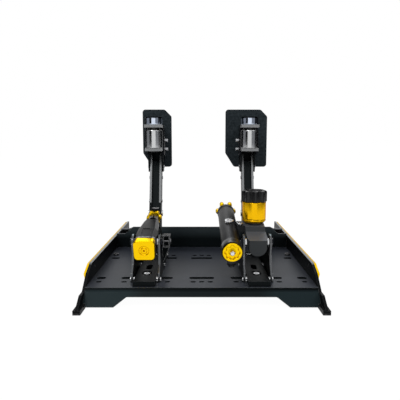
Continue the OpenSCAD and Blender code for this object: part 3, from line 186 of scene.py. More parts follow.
class Graph:
    """A node tree under construction: nodes, their settings and their links."""

    def __init__(self, tree: bpy.types.NodeTree) -> None:
        """Starts from an empty tree."""
        self.tree = tree
        tree.nodes.clear()

    def node(self, kind: str, settings: dict | None = None, inputs: dict | None = None) -> bpy.types.Node:
        """Adds a node.

        Args:
            kind: The node's type, such as ShaderNodeMath.
            settings: Attributes that are set first.
            inputs: Socket name or index to a Value, a socket's constant or a shader output.
        Returns:
            The node.
        """
        made = self.tree.nodes.new(kind)
        for name, setting in (settings or {}).items():
            setattr(made, name, setting)
        for name, content in (inputs or {}).items():
            source = content.socket if isinstance(content, Value) else content
            if isinstance(source, bpy.types.NodeSocket):
                self.tree.links.new(source, made.inputs[name])
            else:
                made.inputs[name].default_value = source
        return made

    def value(self, node: bpy.types.Node, output: str | int = 0) -> Value:
        """One output of a node, ready for maths."""
        return Value(self, node.outputs[output])

    def math(self, operation: str, *terms: Value | float) -> Value:
        """A Math node's result."""
        return self.value(self.node("ShaderNodeMath", {"operation": operation}, dict(enumerate(terms))))

    def clamp(self, term: Value, low: float = 0.0, high: float = 1.0) -> Value:
        """The term held between two numbers."""
        return self.value(self.node("ShaderNodeClamp", None, {"Value": term, "Min": low, "Max": high}))

    def ramp(self, term: Value, start: float, width: float) -> Value:
        """0 up to a start and 1 from a width beyond it; a width below 0 runs the other way."""
        return self.clamp((term - start) * (1.0 / width))

    def about(self, mean: float, *swings: tuple[Value, float]) -> Value:
        """A number that noises from 0 to 1 swing to either side of a mean, each by half its width."""
        least = mean - sum(width for _, width in swings) / 2
        return sum((noise * width for noise, width in swings), least)

    def mix(self, factor: Value, first: Value | Colour, second: Value | Colour) -> Value:
        """A colour between two.

        Args:
            factor: 0 for the first colour, 1 for the second.
            first: The first colour.
            second: The second colour.
        Returns:
            The mixed colour.
        """
        terms = [term if isinstance(term, Value) else (*term, 1.0) for term in (factor, first, second)]
        made = self.node("ShaderNodeMix", {"data_type": "RGBA"}, dict(zip(MIX_SOCKETS, terms)))
        return self.value(made, MIX_RESULT)

    def place(self, scale: Colour = EVEN) -> Value:
        """Object coordinates, stretched along each axis by a scale."""
        coordinates = self.value(self.node("ShaderNodeTexCoord"), "Object")
        return self.value(self.node("ShaderNodeMapping", None, {"Vector": coordinates, "Scale": scale}))

    def noise(self, scale: float, detail: float = 3.0, stretch: Colour = EVEN) -> Value:
        """Noise of so many waves a metre, from 0 to 1."""
        inputs = {"Vector": self.place(stretch), "Scale": scale, "Detail": detail}
        return self.value(self.node("ShaderNodeTexNoise", None, inputs))

    def part(self, vector: Value, axis: str) -> Value:
        """The X, Y or Z part of a vector."""
        return self.value(self.node("ShaderNodeSeparateXYZ", None, {0: vector}), axis)

    def facing(self, axis: str) -> Value:
        """How far the surface faces along an axis of its own frame, from -1 to 1."""
        return self.part(self.value(self.node("ShaderNodeTexCoord"), "Normal"), axis)

    def round_edges(self, radius: float) -> tuple[Value, Value]:
        """Rounded edges.

        Args:
            radius: Radius of the rounding.
        Returns:
            The rounded normal, and a mask that is 1 along the edges.
        """
        normal = self.value(self.node("ShaderNodeBevel", {"samples": BEVEL_SAMPLES}, {"Radius": radius}))
        flat = self.value(self.node("ShaderNodeNewGeometry"), "Normal")
        product = self.node("ShaderNodeVectorMath", {"operation": "DOT_PRODUCT"}, {0: normal, 1: flat})
        return normal, self.ramp(self.value(product, "Value"), 1.0, -EDGE_TURN)

    def bump(self, height: Value, depth: float, normal: Value, strength: float = 0.6) -> Value:
        """A normal bent by a height of so many metres."""
        inputs = {"Height": height, "Distance": depth, "Strength": strength, "Normal": normal}
        return self.value(self.node("ShaderNodeBump", None, inputs))


def new_graph(name: str) -> tuple[bpy.types.Material, Graph]:
    """Starts a material.

    Args:
        name: The material's name.
    Returns:
        The material and its empty tree.
    """
    material = bpy.data.materials.new(name)
    material.use_nodes = True
    return material, Graph(material.node_tree)


# Finishes


@dataclass(frozen=True)
class Finish:
    """A finish; slot names a slot for pieces made in it, the finish's own name where it is empty; nothing in this
    script reads it.
    """

    name: str
    slot: str = field(default="", kw_only=True)

    def sockets(self, graph: Graph) -> Sockets:
        """What goes into the Principled shader's sockets; each kind of finish has its own."""
        raise NotImplementedError(self.name)

    @functools.cache
    def material(self) -> bpy.types.Material:
        """Closes the finish's tree with one Principled shader; the material is made once.

        Returns:
            The material.
        """
        material, graph = new_graph(self.name)
        shader = graph.node("ShaderNodeBsdfPrincipled", None, self.sockets(graph))
        graph.node("ShaderNodeOutputMaterial", None, {"Surface": shader.outputs[0]})
        LOG.info("finish %s", self.name)
        return material


@dataclass(frozen=True)
class PowderCoat(Finish):
    """Satin black coating on sheet metal, with an orange peel, edges that are partly rubbed and partly a painted
    highlight, and, where asked, bare cut faces.
    """

    colour: Colour
    lighter: Colour
    rough: float = 0.42
    rough_clouds: float = 0.12
    rough_specks: float = 0.06
    gloss: float = 0.16
    tint: Colour = (0.8, 0.97, 1.0)
    peel: float = 0.05 * MM
    peel_waves: float = 900.0
    speck_waves: float = 2600.0
    speck_share: float = 0.3
    cloud_waves: float = 14.0
    cloud_contrast: float = 1.0
    # A lighter tone for faces that look up: painted light
    lit_top_colour: Colour | None = None
    edge: float = 0.6 * MM
    edge_wear_and_light_colour: Colour = (0.07, 0.075, 0.08)
    edge_least: float = 0.35
    cut: CutFaces = CutFaces.NONE
    cut_colour: Colour = (0.24, 0.255, 0.26)
    cut_from: float = 0.0
    cut_rough: float = 0.26
    cut_waves: float = 1800.0
    cut_grain: Colour = (1.0, 0.12, 0.12)
    cut_deep: float = 0.75

    def painted_light_and_shade(self, graph: Graph, colour: Value, edges: Value) -> Tones:
        """Painted light that depends on where a face looks: faces that look up take a lighter top colour where one
        is given.

        Args:
            graph: The material's tree.
            colour: Colour so far.
            edges: Mask of the edges.
        Returns:
            The colour, its metallic share and the edges' colour, which is partly wear and partly a painted
            highlight.
        """
        if self.lit_top_colour is not None:
            colour = graph.mix(graph.ramp(graph.facing("Z"), *LEVEL), colour, self.lit_top_colour)
        return colour, 0.0, self.edge_wear_and_light_colour

    def bared(self, graph: Graph, colour: Value, rough: Value) -> tuple[Value, Value, Value]:
        """Bare metal on the cut faces.

        Args:
            graph: The material's tree.
            colour: The coat's colour.
            rough: The coat's roughness.
        Returns:
            Colour and roughness of coat and metal, and the mask of the metal.
        """
        if self.cut is CutFaces.ACROSS:
            bare = graph.ramp(abs(graph.facing("X")), *EDGEWAYS)
        else:
            bare = graph.ramp(graph.facing("Z"), *UPWARD)
        # Below cut_from the cut faces keep the coat: painted shade on the arm plates' lower edges, and on the side
        # plates all but the painted highlight of the lit flat top edge
        if self.cut_from:
            bare = bare * (graph.part(graph.place(), "Z") > self.cut_from)
        grain = graph.noise(self.cut_waves, 2.0, stretch=self.cut_grain)
        metal = graph.mix(grain, tuple(self.cut_deep * part for part in self.cut_colour), self.cut_colour)
        return graph.mix(bare, colour, metal), rough * (1.0 - bare) + bare * self.cut_rough, bare

    def sockets(self, graph: Graph) -> Sockets:
        """Colour clouds, painted light, and edges that are partly rubbed and partly a painted highlight, over a
        fine peel.

        Args:
            graph: The material's tree.
        Returns:
            The Principled shader's sockets.
        """
        clouds = graph.noise(self.cloud_waves, detail=4.0)
        specks = graph.noise(self.speck_waves, detail=1.0)
        normal, edges = graph.round_edges(self.edge)
        shares = ((clouds, (1.0 - self.speck_share) * self.cloud_contrast),
                  (specks, self.speck_share * self.cloud_contrast))
        colour = graph.mix(graph.clamp(graph.about(0.5, *shares)), self.colour, self.lighter)
        rough = graph.about(self.rough, (clouds, self.rough_clouds), (specks, self.rough_specks))
        # Painted light and painted shade by where a face looks, and the edges' colour
        colour, metallic, edge_wear_and_light = self.painted_light_and_shade(graph, colour, edges)
        if self.cut is not CutFaces.NONE:
            colour, rough, metallic = self.bared(graph, colour, rough)
        # Edges in their own colour: partly wear and partly a painted highlight; painted shade on the tray's slot
        # rims
        colour = graph.mix(graph.clamp(edges * (clouds + self.edge_least)), colour, edge_wear_and_light)
        peel = graph.noise(self.peel_waves, detail=2.0) + specks * self.speck_share
        return {"Base Color": colour, "Roughness": rough, "Normal": graph.bump(peel, self.peel, normal),
                "Metallic": metallic, "Specular IOR Level": self.gloss, "Specular Tint": (*self.tint, 1.0)}


@dataclass(frozen=True)
class TrayCoat(PowderCoat):
    """Powder coat of the folded tray, with painted light on the heel wall and the skirt's ends, and painted shade
    on its other upright faces and its slot rims.

    wall_from and wall_high are where the wall's painted light starts; shade_from, shade_to and shade_high bound
    the painted shade on the slot walls behind the skirt and along the skirt's upper edge; wing_from is where the
    skirt's ends and their painted light start.
    """

    lit_wall_colour: Colour = (0.040, 0.052, 0.058)
    wall_from: float = 60.0 * MM
    wall_high: float = 44.0 * MM
    wall_rise: float = 16.7 * MM
    shade_from: float = SKIRT_BACK
    shade_to: float = 62.0 * MM
    shade_high: float = FLOOR_TOP - 6.0 * MM
    shade_rise: float = 4.0 * MM
    shade_colour: Colour = (0.0035, 0.0044, 0.0048)
    wing_from: float = 85.0 * MM
    wing_rise: float = 25.0 * MM
    lit_wing_colour: Colour = (0.010, 0.018, 0.021)

    def painted_light_and_shade(self, graph: Graph, colour: Value, edges: Value) -> Tones:
        """Adds painted light on the wall and the skirt's ends, and painted shade on the upright faces and the slot
        rims.

        Args:
            graph: The material's tree.
            colour: Colour so far.
            edges: Mask of the edges.
        Returns:
            The colour, the metallic share that keeps white reflections off the painted shade, and the edges'
            colour, painted shade on the slot rims.
        """
        colour, _, _ = super().painted_light_and_shade(graph, colour, edges)
        place = graph.place()
        side, deep, tall = (graph.part(place, axis) for axis in "XYZ")
        # Painted light: the heel wall lighter above wall_high, where it looks to the front
        wall = graph.ramp(tall, self.wall_high, self.wall_rise) * (deep > self.wall_from)
        colour = graph.mix(wall * graph.ramp(graph.facing("Y"), *FRONTWARD), colour, self.lit_wall_colour)
        upright = graph.ramp(abs(graph.facing("Z")), *UPRIGHT)
        behind, before = deep > self.shade_from, 1.0 - (deep > self.shade_to)
        # Painted light: the skirt's ends lighter beyond wing_from
        lit_wing = graph.ramp(abs(side), self.wing_from, self.wing_rise) * upright * (1.0 - behind)
        colour = graph.mix(lit_wing, colour, self.lit_wing_colour)
        # Painted shade: the slot walls and the band along the skirt's upper edge; the slot rims take it too
        inside = behind * before
        band = graph.ramp(tall, self.shade_high, self.shade_rise)
        shade = upright * before * graph.clamp(behind + band)
        colour = graph.mix(shade, colour, self.shade_colour)
        edge_wear_and_light = graph.mix(inside, self.edge_wear_and_light_colour, self.shade_colour)
        return colour, graph.clamp(shade + inside * edges), edge_wear_and_light


@dataclass(frozen=True)
class Dark:
    """Where a metal is dark: beyond a limit of a measure, or short of it where the width is below 0.

    It is painted shade on the clevis pin between the arm plates, on the motor mount behind the can and on the
    cover's dome; on the pins it is their ends beyond the bracket plates.
    """

    measure: Measure
    limit: float
    width: float = SHARP
    colour: Colour = (0.012, 0.013, 0.016)

    def mask(self, graph: Graph) -> Value:
        """Works out the dark part.

        Args:
            graph: The material's tree.
        Returns:
            A mask that is 1 where the metal is dark.
        """
        place = graph.place()
        if self.measure is Measure.OFF_PEDAL:
            return graph.ramp(abs(abs(graph.part(place, "X")) - PEDAL_X), self.limit, self.width)
        return graph.ramp(graph.part(place, self.measure.value), self.limit, self.width)


@dataclass(frozen=True)
class Metal(Finish):
    """Bare, plated or anodised metal, with a grain along one direction, smudges, and edges in their own colour:
    partly wear and painted highlight where paler, painted shade where darker.

    rim and rim_tint are the tone of reflections at a flat angle.
    """

    colour: Colour
    deeper: Colour
    rough: float = 0.28
    rough_smudges: float = 0.16
    rough_grain: float = 0.1
    least_rough: float = 0.03
    grain_waves: float = 1500.0
    grain_stretch: Colour = EVEN
    grain_depth: float = 0.004 * MM
    grain_strength: float = 0.4
    smudge_waves: float = 45.0
    tone: float = 0.475
    tone_grain: float = 0.55
    tone_smudges: float = 0.6
    edge: float = 0.5 * MM
    edge_wear_and_light_colour: Colour = (0.85, 0.85, 0.86)
    edge_share: float = 0.6
    metallic: float = 1.0
    rim: float = 1.0
    rim_tint: Colour = EVEN
    dark: Dark | None = None

    def sockets(self, graph: Graph) -> Sockets:
        """Grain in colour, roughness and height, with smudges over it.

        Args:
            graph: The material's tree.
        Returns:
            The Principled shader's sockets.
        """
        grain = graph.noise(self.grain_waves, stretch=self.grain_stretch)
        smudges = graph.noise(self.smudge_waves, detail=4.0)
        normal, edges = graph.round_edges(self.edge)
        tone = graph.clamp(graph.about(self.tone, (grain, self.tone_grain), (smudges, self.tone_smudges)))
        # Edge colour: wear and painted highlight where it is paler, painted shade where it is darker
        colour = graph.mix(edges * self.edge_share, graph.mix(tone, self.deeper, self.colour), self.edge_wear_and_light_colour)
        rough = graph.about(self.rough, (smudges, self.rough_smudges), (grain, self.rough_grain))
        # The dark part: painted shade on the clevis pin, the motor mount and the cover's dome
        if self.dark is not None:
            colour = graph.mix(self.dark.mask(graph), colour, self.dark.colour)
        return {"Base Color": colour, "Roughness": graph.clamp(rough, self.least_rough), "Metallic": self.metallic,
                "Normal": graph.bump(grain, self.grain_depth, normal, self.grain_strength),
                "Specular Tint": (*(self.rim * part for part in self.rim_tint), 1.0)}


@dataclass(frozen=True)
class Moulded(Finish):
    """Moulded rubber, plastic or cast elastomer, with a fine grain and a dusting."""

    colour: Colour
    dusty: Colour
    rough: float = 0.6
    rough_clouds: float = 0.15
    rough_grain: float = 0.09
    cloud_waves: float = 30.0
    grain_waves: float = 1400.0
    grain_depth: float = 0.06 * MM
    edge: float = 0.6 * MM
    dust: float = 0.8
    edge_dust: float = 0.5
    dust_from: float = 0.2

    def sockets(self, graph: Graph) -> Sockets:
        """A grained surface that dust has settled on in clouds.

        Args:
            graph: The material's tree.
        Returns:
            The Principled shader's sockets.
        """
        clouds = graph.noise(self.cloud_waves, detail=4.0)
        grain = graph.noise(self.grain_waves, detail=2.0)
        normal, edges = graph.round_edges(self.edge)
        dust = graph.clamp(clouds * self.dust + edges * self.edge_dust - self.dust_from)
        return {"Base Color": graph.mix(dust, self.colour, self.dusty),
                "Roughness": graph.about(self.rough, (clouds, self.rough_clouds), (grain, self.rough_grain)),
                "Normal": graph.bump(grain, self.grain_depth, normal)}


# Tray: the lighter top colour is a painted sheen on the floor; the pale edges are painted highlights, partly wear
TRAY_BLACK = TrayCoat(
    "tray_black", (0.0030, 0.0048, 0.0058), (0.0055, 0.0078, 0.0090), rough=0.36, gloss=0.1,
    edge=1.4 * MM, edge_wear_and_light_colour=(0.17, 0.18, 0.185), lit_top_colour=(0.031, 0.035, 0.046))
# Side plates: only the flat top edge is bare and pale, a painted highlight of that lit edge
SIDE_BLACK = PowderCoat(
    "side_black", (0.0016, 0.0022, 0.0027), (0.0034, 0.0043, 0.0050), gloss=0.07, tint=EVEN,
    cut=CutFaces.UPWARD, cut_colour=(0.15, 0.16, 0.165), cut_from=SIDE_TOP - 1.5 * MM)
# Arm plates: cut faces below cut_from keep the coat, painted shade on their lower edges
PLATE_BLACK = PowderCoat(
    "plate_black", (0.0045, 0.0054, 0.0060), (0.0075, 0.0085, 0.0092), gloss=0.1,
    cut=CutFaces.ACROSS, cut_colour=(0.26, 0.27, 0.275), cut_from=128.0 * MM)
# Bracket plates: dark cut faces with pale edges, painted glints along their edges
BRACKET_BLACK = replace(
    PLATE_BLACK, name="bracket_black", cut_colour=(0.11, 0.115, 0.12), cut_from=0.0, cut_rough=0.2,
    edge=1.0 * MM, edge_wear_and_light_colour=(0.42, 0.43, 0.44))
CORE_BLACK = PowderCoat(
    "core_black", (0.0030, 0.0040, 0.0045), (0.0060, 0.0072, 0.0080), rough=0.24, gloss=0.14)
# Sensor bracket: wide pale edges, painted highlights along its outline
FRAME_BLACK = PowderCoat(
    "frame_black", (0.0030, 0.0038, 0.0042), (0.0055, 0.0064, 0.0070), gloss=0.06,
    edge=1.6 * MM, edge_wear_and_light_colour=(0.60, 0.61, 0.62))
RAIL_BLACK = PowderCoat(
    "rail_black", (0.0035, 0.0044, 0.0050), (0.0060, 0.0070, 0.0078), rough=0.4, gloss=0.05)
# Master cylinder block: the lighter top colour is painted light on its top
BLOCK_BLACK = PowderCoat(
    "block_black", (0.034, 0.036, 0.038), (0.050, 0.052, 0.055), rough=0.4, gloss=0.14,
    lit_top_colour=(0.095, 0.102, 0.115))
# Face plates: dark edges, painted shade round their outline
PAD_BLACK = PowderCoat(
    "pad_black", (0.0090, 0.0128, 0.0155), (0.037, 0.046, 0.053), rough=0.6, gloss=0.08,
    cloud_waves=230.0, cloud_contrast=2.4, peel=0.09 * MM, edge=2.2 * MM, edge_wear_and_light_colour=(0.003, 0.0035, 0.004))
# Metal edge colours: paler ones are painted highlights, partly wear; darker ones are painted shade
GOLD = Metal(
    "gold_anodised", (1.0, 0.66, 0.005), (0.92, 0.54, 0.002), rough=0.25,
    edge_wear_and_light_colour=(1.0, 0.72, 0.06), rim=0.6)
RESERVOIR_GOLD = Metal(
    "reservoir_gold", (1.0, 0.60, 0.004), (0.92, 0.47, 0.002), rough=0.2, grain_depth=0.0, slot="gold_anodised",
    edge_wear_and_light_colour=(1.0, 0.70, 0.05), metallic=0.8, rim=0.42, rim_tint=(1.0, 0.66, 0.4))
# Near knob: dark brown edges, painted shade along its rim and recess
KNOB_GOLD = Metal(
    "knob_gold", (1.0, 0.68, 0.005), (0.94, 0.56, 0.002), rough=0.27, slot="gold_anodised",
    edge=1.1 * MM, edge_wear_and_light_colour=(0.42, 0.17, 0.001), rim=0.8)
BRIGHT_STEEL = Metal("bright_steel", (0.80, 0.81, 0.82), (0.60, 0.61, 0.63), rough=0.22)
PIN_STEEL = replace(BRIGHT_STEEL, name="pin_steel", rough=0.25, dark=Dark(Measure.OFF_PEDAL, BRACKET_HALF))
# Clevis pin: dark between the arm plates, painted shade
CLEVIS_STEEL = replace(PIN_STEEL, name="clevis_steel", dark=Dark(Measure.OFF_PEDAL, ARM_HALF, -SHARP))
DARK_STEEL = Metal("dark_steel", (0.16, 0.16, 0.165), (0.08, 0.08, 0.085), rough=0.3)
TURNED_STEEL = Metal(
    "turned_steel", (0.58, 0.59, 0.61), (0.42, 0.43, 0.45), rough=0.3, grain_depth=0.006 * MM)
# Motor mount: dark behind MOUNT_BACK, painted shade on its back plate and wings
BLASTED_GREY = Metal(
    "blasted_grey", (0.30, 0.31, 0.315), (0.22, 0.225, 0.23), rough=0.5, grain_depth=0.02 * MM,
    dark=Dark(Measure.DEPTH, MOUNT_BACK))
# Motor can: darker edges, painted shade at its rims
MOTOR_STEEL = Metal(
    "motor_steel", (0.66, 0.67, 0.675), (0.50, 0.51, 0.515), rough=0.17, grain_stretch=(1.0, 1.0, 0.03),
    edge_wear_and_light_colour=(0.3, 0.3, 0.31), rim=0.06)
# Cover: dark dome top and dark edges, painted shade
MIRROR_COVER = Metal(
    "mirror_cover", (0.70, 0.77, 0.88), (0.60, 0.67, 0.80), rough=0.12, grain_depth=0.0, slot="clear_cover",
    edge_wear_and_light_colour=(0.1, 0.12, 0.16), rim=0.05, dark=Dark(Measure.HEIGHT, COVER_DOME, 1.11 * MM))
# Cartridge housing: pale edges, painted highlights
HOUSING_GREY = Metal(
    "housing_grey", (0.019, 0.0193, 0.0205), (0.012, 0.0124, 0.0134), rough=0.38, grain_depth=0.006 * MM,
    edge_wear_and_light_colour=(0.24, 0.245, 0.25), rim=0.84)
# Side tube: pale edges, painted highlights
TUBE_GREY = Metal(
    "tube_grey", (0.029, 0.0298, 0.0315), (0.020, 0.0205, 0.022), rough=0.46, grain_depth=0.006 * MM,
    slot="grey_anodised", edge_wear_and_light_colour=(0.16, 0.165, 0.17), rim=0.9)
BLACK_ANODISED = Metal(
    "black_anodised", (0.014, 0.0145, 0.015), (0.008, 0.0085, 0.009), rough=0.3, grain_depth=0.006 * MM,
    edge_wear_and_light_colour=(0.06, 0.062, 0.065), metallic=0.5)
RUBBER = Moulded("foot_rubber", (0.010, 0.010, 0.011), (0.035, 0.035, 0.036), rough=0.8)
PLASTIC = Moulded("sensor_plastic", (0.008, 0.008, 0.009), (0.018, 0.018, 0.019), rough=0.5)
ELASTOMER = Moulded("elastomer_red", (0.42, 0.06, 0.04), (0.50, 0.14, 0.10), rough=0.55)


# Surfaces


def angles(steps: int) -> Array:
    """Angles of a full turn, without its end."""
    return np.linspace(0.0, math.tau, steps, endpoint=False)


@dataclass(frozen=True, eq=False)
class Axis:
    """A line in space, with the directions across it that a turned piece is drawn in."""

    origin: Array
    along: Array
    across: Array
    up: Array

    @classmethod
    def through(cls, origin: Sequence[float], along: Sequence[float]) -> "Axis":
        """An axis through a point.

        Args:
            origin: The point that lengths along the axis are measured from.
            along: Direction of the axis, in the YZ plane.
        Returns:
            The axis, with X as its direction across.
        """
        direction = np.asarray(along, float) / np.linalg.norm(along)
        across = np.array((1.0, 0.0, 0.0))
        return cls(np.asarray(origin, float), direction, across, np.cross(across, direction))

    def moved(self, side: float = 0.0, along: float = 0.0, up: float = 0.0) -> "Axis":
        """The same directions through another point."""
        step = side * self.across + along * self.along + up * self.up
        return Axis(self.origin + step, self.along, self.across, self.up)

    def upright(self) -> "Axis":
        """The axis through the same point that stands square on this one."""
        return Axis(self.origin, self.up, self.across, -self.along)

    def points(self, node: str) -> Array:
        """Where a CAD node's points are.

        Args:
            node: The CAD node's name.
        Returns:
            Each point's length along the axis and distance from it.
        """
        mesh = frame["nodes"][node].data
        flat = np.empty(3 * len(mesh.vertices))
        mesh.vertices.foreach_get("co", flat)
        offset = flat.reshape(-1, 3) - self.origin
        return np.stack((offset @ self.along, np.hypot(offset @ self.across, offset @ self.up)), axis=1)

    def span(self, node: str) -> tuple[float, float]:
        """Where a CAD node starts and ends along the axis."""
        along = self.points(node)[:, 0]
        return float(along.min()), float(along.max())

    def reach(self, node: str) -> float:
        """How far a CAD node reaches from the axis."""
        return float(self.points(node)[:, 1].max())

    def spokes(self, angle: Array) -> Array:
        """Directions (cos a, sin a) across the axis."""
        return np.cos(angle)[:, None] * self.across + np.sin(angle)[:, None] * self.up

    def rings(self, along: Array, radius: Array) -> Array:
        """Rows of points round the axis: along + radius (cos a, sin a), for angles a over a full turn.

        Args:
            along: Length along the axis of each row.
            radius: Radius of each row at each angle, rows by angles.
        Returns:
            Points, rows by angles by 3.
        """
        spoke = self.spokes(angles(radius.shape[1]))
        return self.origin + along[:, None, None] * self.along + radius[:, :, None] * spoke


def lobed(angle: Array, count: int, reach: float, lobe: float, core: float) -> Array:
    """Radius of a disc with round lobes: c cos a + sqrt(l^2 - c^2 sin^2 a) on a lobe, else the core's.

    Args:
        angle: Angles.
        count: Number of lobes.
        reach: Radius over the lobes.
        lobe: Radius of a lobe.
        core: Radius of the disc between the lobes.
    Returns:
        Radius at each angle.
    """
    centre = reach - lobe
    turn = (angle + math.pi / count) % (math.tau / count) - math.pi / count
    room = np.clip(lobe**2 - (centre * np.sin(turn)) ** 2, 0.0, None)
    return np.maximum(core, np.where(room > 0.0, centre * np.cos(turn) + np.sqrt(room), 0.0))


def hexagon(angle: Array, flat: float) -> Array:
    """Radius of a hexagon with its flats at a distance: flat / cos of the angle from the nearest flat."""
    third = math.pi / 3
    return flat / np.cos((angle + third / 2) % third - third / 2)


def round_square(angle: Array, half: float, corner: float) -> Array:
    """Radius of a square with round corners: a straight side, or the far root on a corner's circle.

    Args:
        angle: Angles.
        half: Half the square's width.
        corner: Radius of its corners.
    Returns:
        Radius at each angle.
    """
    wide, tall = np.abs(np.cos(angle)), np.abs(np.sin(angle))
    side = half / np.maximum(wide, tall)
    centre = half - corner
    middle = centre * (wide + tall)
    room = np.clip(middle**2 - 2.0 * centre**2 + corner**2, 0.0, None)
    on_corner = side * np.minimum(wide, tall) > centre
    return np.where(on_corner, middle + np.sqrt(room), side)


def soft_outline(points: Sequence[tuple[float, float]], radius: float, steps: int = 4) -> Array:
    """An open outline whose corners are parabolas between points near the corner on its two sides.

    Args:
        points: Corners as (along, radius).
        radius: How far from a corner its curve starts, at most half a side.
        steps: Segments in a corner.
    Returns:
        Points of the softened outline.
    """
    corner = np.asarray(points, float)
    before, middle, after = corner[:-2], corner[1:-1], corner[2:]

    def near(other: Array) -> Array:
        """Where each corner's curve meets the side towards another point."""
        length = np.linalg.norm(other - middle, axis=1, keepdims=True)
        return middle + (other - middle) * np.minimum(radius / length, 0.5)

    start, end = near(before)[:, None], near(after)[:, None]
    t = np.linspace(0.0, 1.0, steps + 1)[None, :, None]
    curve = (1 - t) ** 2 * start + 2 * t * (1 - t) * middle[:, None] + t**2 * end
    return np.vstack((corner[:1], curve.reshape(-1, 2), corner[-1:]))


def soft_wall(start: float, end: float, rim: Array, edge: float) -> list[Row]:
    """Rows of a wall along the axis whose two edges are turned down over two flats each.

    Args:
        start: Where the wall starts along the axis.
        end: Where it ends.
        rim: Its radius at each angle.
        edge: Height and width of each edge.
    Returns:
        Length along the axis and radius of each row.
    """
    first = 0.3 * edge
    return [(start, rim - edge), (start + first, rim - first), (start + edge, rim),
            (end - edge, rim), (end - first, rim - first), (end, rim - edge)]


def turned(axis: Axis, outline: Array, steps: int = 96) -> Array:
    """Rings of a turned piece from its outline of (along, radius)."""
    return axis.rings(outline[:, 0], np.repeat(outline[:, 1:], steps, axis=1))


def stacked(axis: Axis, rows: Sequence[Row]) -> Array:
    """Rings of a piece whose outline changes along its axis, from rows of a length and a radius or radii."""
    along, radius = zip(*rows)
    return axis.rings(np.array(along), np.stack(np.broadcast_arrays(*radius)))


def grid_faces(rows: int, columns: int, close_rows: bool, close_columns: bool) -> Array:
    """Quads between the neighbouring points of a grid.

    Args:
        rows: Number of rows.
        columns: Number of columns.
        close_rows: Whether the last row joins the first.
        close_columns: Whether the last column joins the first.
    Returns:
        Four points for each face.
    """
    row = np.arange(rows if close_rows else rows - 1)[:, None]
    column = np.arange(columns if close_columns else columns - 1)[None, :]
    next_row, next_column = (row + 1) % rows, (column + 1) % columns
    corners = (row * columns + column, row * columns + next_column,
               next_row * columns + next_column, next_row * columns + column)
    return np.stack(corners, axis=-1).reshape(-1, 4)


def grid_mesh(name: str, grid: Array, material: bpy.types.Material, close_rows: bool = False,
              close_columns: bool = False) -> bpy.types.Mesh:
    """Makes a mesh from a grid of points.

    Args:
        name: The mesh's name.
        grid: Points, rows by columns by 3.
        material: Its material.
        close_rows: Whether the last row joins the first.
        close_columns: Whether the last column joins the first.
    Returns:
        The mesh.
    """
    mesh = bpy.data.meshes.new(name)
    mesh.from_pydata(grid.reshape(-1, 3), [], grid_faces(*grid.shape[:2], close_rows, close_columns))
    mesh.materials.append(material)
    return mesh


def link(name: str, data: bpy.types.ID) -> bpy.types.Object:
    """Puts a new object into the scene.

    Args:
        name: The object's name.
        data: Its mesh, light or camera.
    Returns:
        The object.
    """
    made = bpy.data.objects.new(name, data)
    bpy.context.scene.collection.objects.link(made)
    return made


def stand(name: str, grid: Array, finish: Finish, body: str, replaces: Sequence[str] = (),
          close_rows: bool = False) -> bpy.types.Object:
    """Makes a piece from a grid of points and sets it on its body.

    Args:
        name: The piece's name.
        grid: Points, rows by columns by 3; a row of equal points is a pole.
        finish: Its finish, whose material fills the mesh's one material slot.
        body: CAD body that it moves with.
        replaces: CAD nodes that it stands for.
        close_rows: Whether the last row joins the first.
    Returns:
        The piece.
    """
    mesh = grid_mesh(name, grid, finish.material(), close_rows, close_columns=True)
    shell = bmesh.new()
    shell.from_mesh(mesh)
    bmesh.ops.remove_doubles(shell, verts=shell.verts, dist=MERGE)
    bmesh.ops.recalc_face_normals(shell, faces=shell.faces)
    shell.to_mesh(mesh)
    shell.free()
    mesh.shade_smooth()
    mesh.set_sharp_from_angle(angle=CREASE)
    piece = link(name, mesh)
    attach(piece, body)
    if replaces:
        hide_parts(*replaces)
    LOG.info("piece %s: %d faces, on %s", name, len(mesh.polygons), body)
    return piece


def squash(piece: bpy.types.Object, axis: Axis, held: float) -> None:
    """Gives a soft piece a mesh of its own and works out the point on its axis that stays.

    Args:
        piece: The piece.
        axis: The piece's axis.
        held: Where along the axis its end stays.
    """
    anchor = axis.origin + held * axis.along
    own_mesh(piece)


# Sub-assemblies


class SubAssembly:
    """A part of the object; FINISHES says which of its CAD nodes show, and in which finish."""

    FINISHES: dict[Finish, tuple[str, ...]] = {}

    def node(self, part: str) -> str:
        """The CAD node's name for a part."""
        return part

    def build(self) -> None:
        """Makes the finer pieces, where there are any."""

    def dress(self) -> None:
        """Gives the CAD nodes their finishes through their material slots."""
        for finish, parts in self.FINISHES.items():
            for name in map(self.node, parts):
                for slot in frame["nodes"][name].material_slots:
                    slot.material = finish.material()
                LOG.info("node %s in %s", name, finish.name)


@dataclass
class PedalPart(SubAssembly):
    """A sub-assembly that each pedal has one of."""

    pedal: Pedal

    def node(self, part: str) -> str:
        """The CAD node's name for a part of this pedal."""
        return f"{self.pedal.value}_{part}"


class Base(SubAssembly):
    """Tray, heel plate, side plates with gold trim, rubber strips and their bolts."""

    FINISHES = {
        TRAY_BLACK: ("base_tray", "heel_plate"),
        SIDE_BLACK: ("side_plate_left", "side_plate_right"),
        GOLD: ("trim_left", "trim_right"),
        RUBBER: ("foot_strips",),
        DARK_STEEL: ("base_bolts",),
    }


class PedalFrame(PedalPart):
    """Rail, bracket plates, pins and bolts that carry one pedal."""

    FINISHES = {
        RAIL_BLACK: ("base_rail",),
        BRACKET_BLACK: ("bracket_left", "bracket_right"),
        PIN_STEEL: ("trunnion_pins", "pivot_pin"),
        BRIGHT_STEEL: ("bracket_bolts",),
        TURNED_STEEL: ("pivot_spacers",),
    }


class PedalArm(PedalPart):
    """Arm plates, core, pad bracket and face plate of one pedal."""

    FINISHES = {
        PLATE_BLACK: ("arm_plates",),
        CORE_BLACK: ("arm_core",),
        RAIL_BLACK: ("pad_bracket",),
        PAD_BLACK: ("face_plate",),
        CLEVIS_STEEL: ("clevis_pin",),
        TURNED_STEEL: ("pad_bolts",),
    }


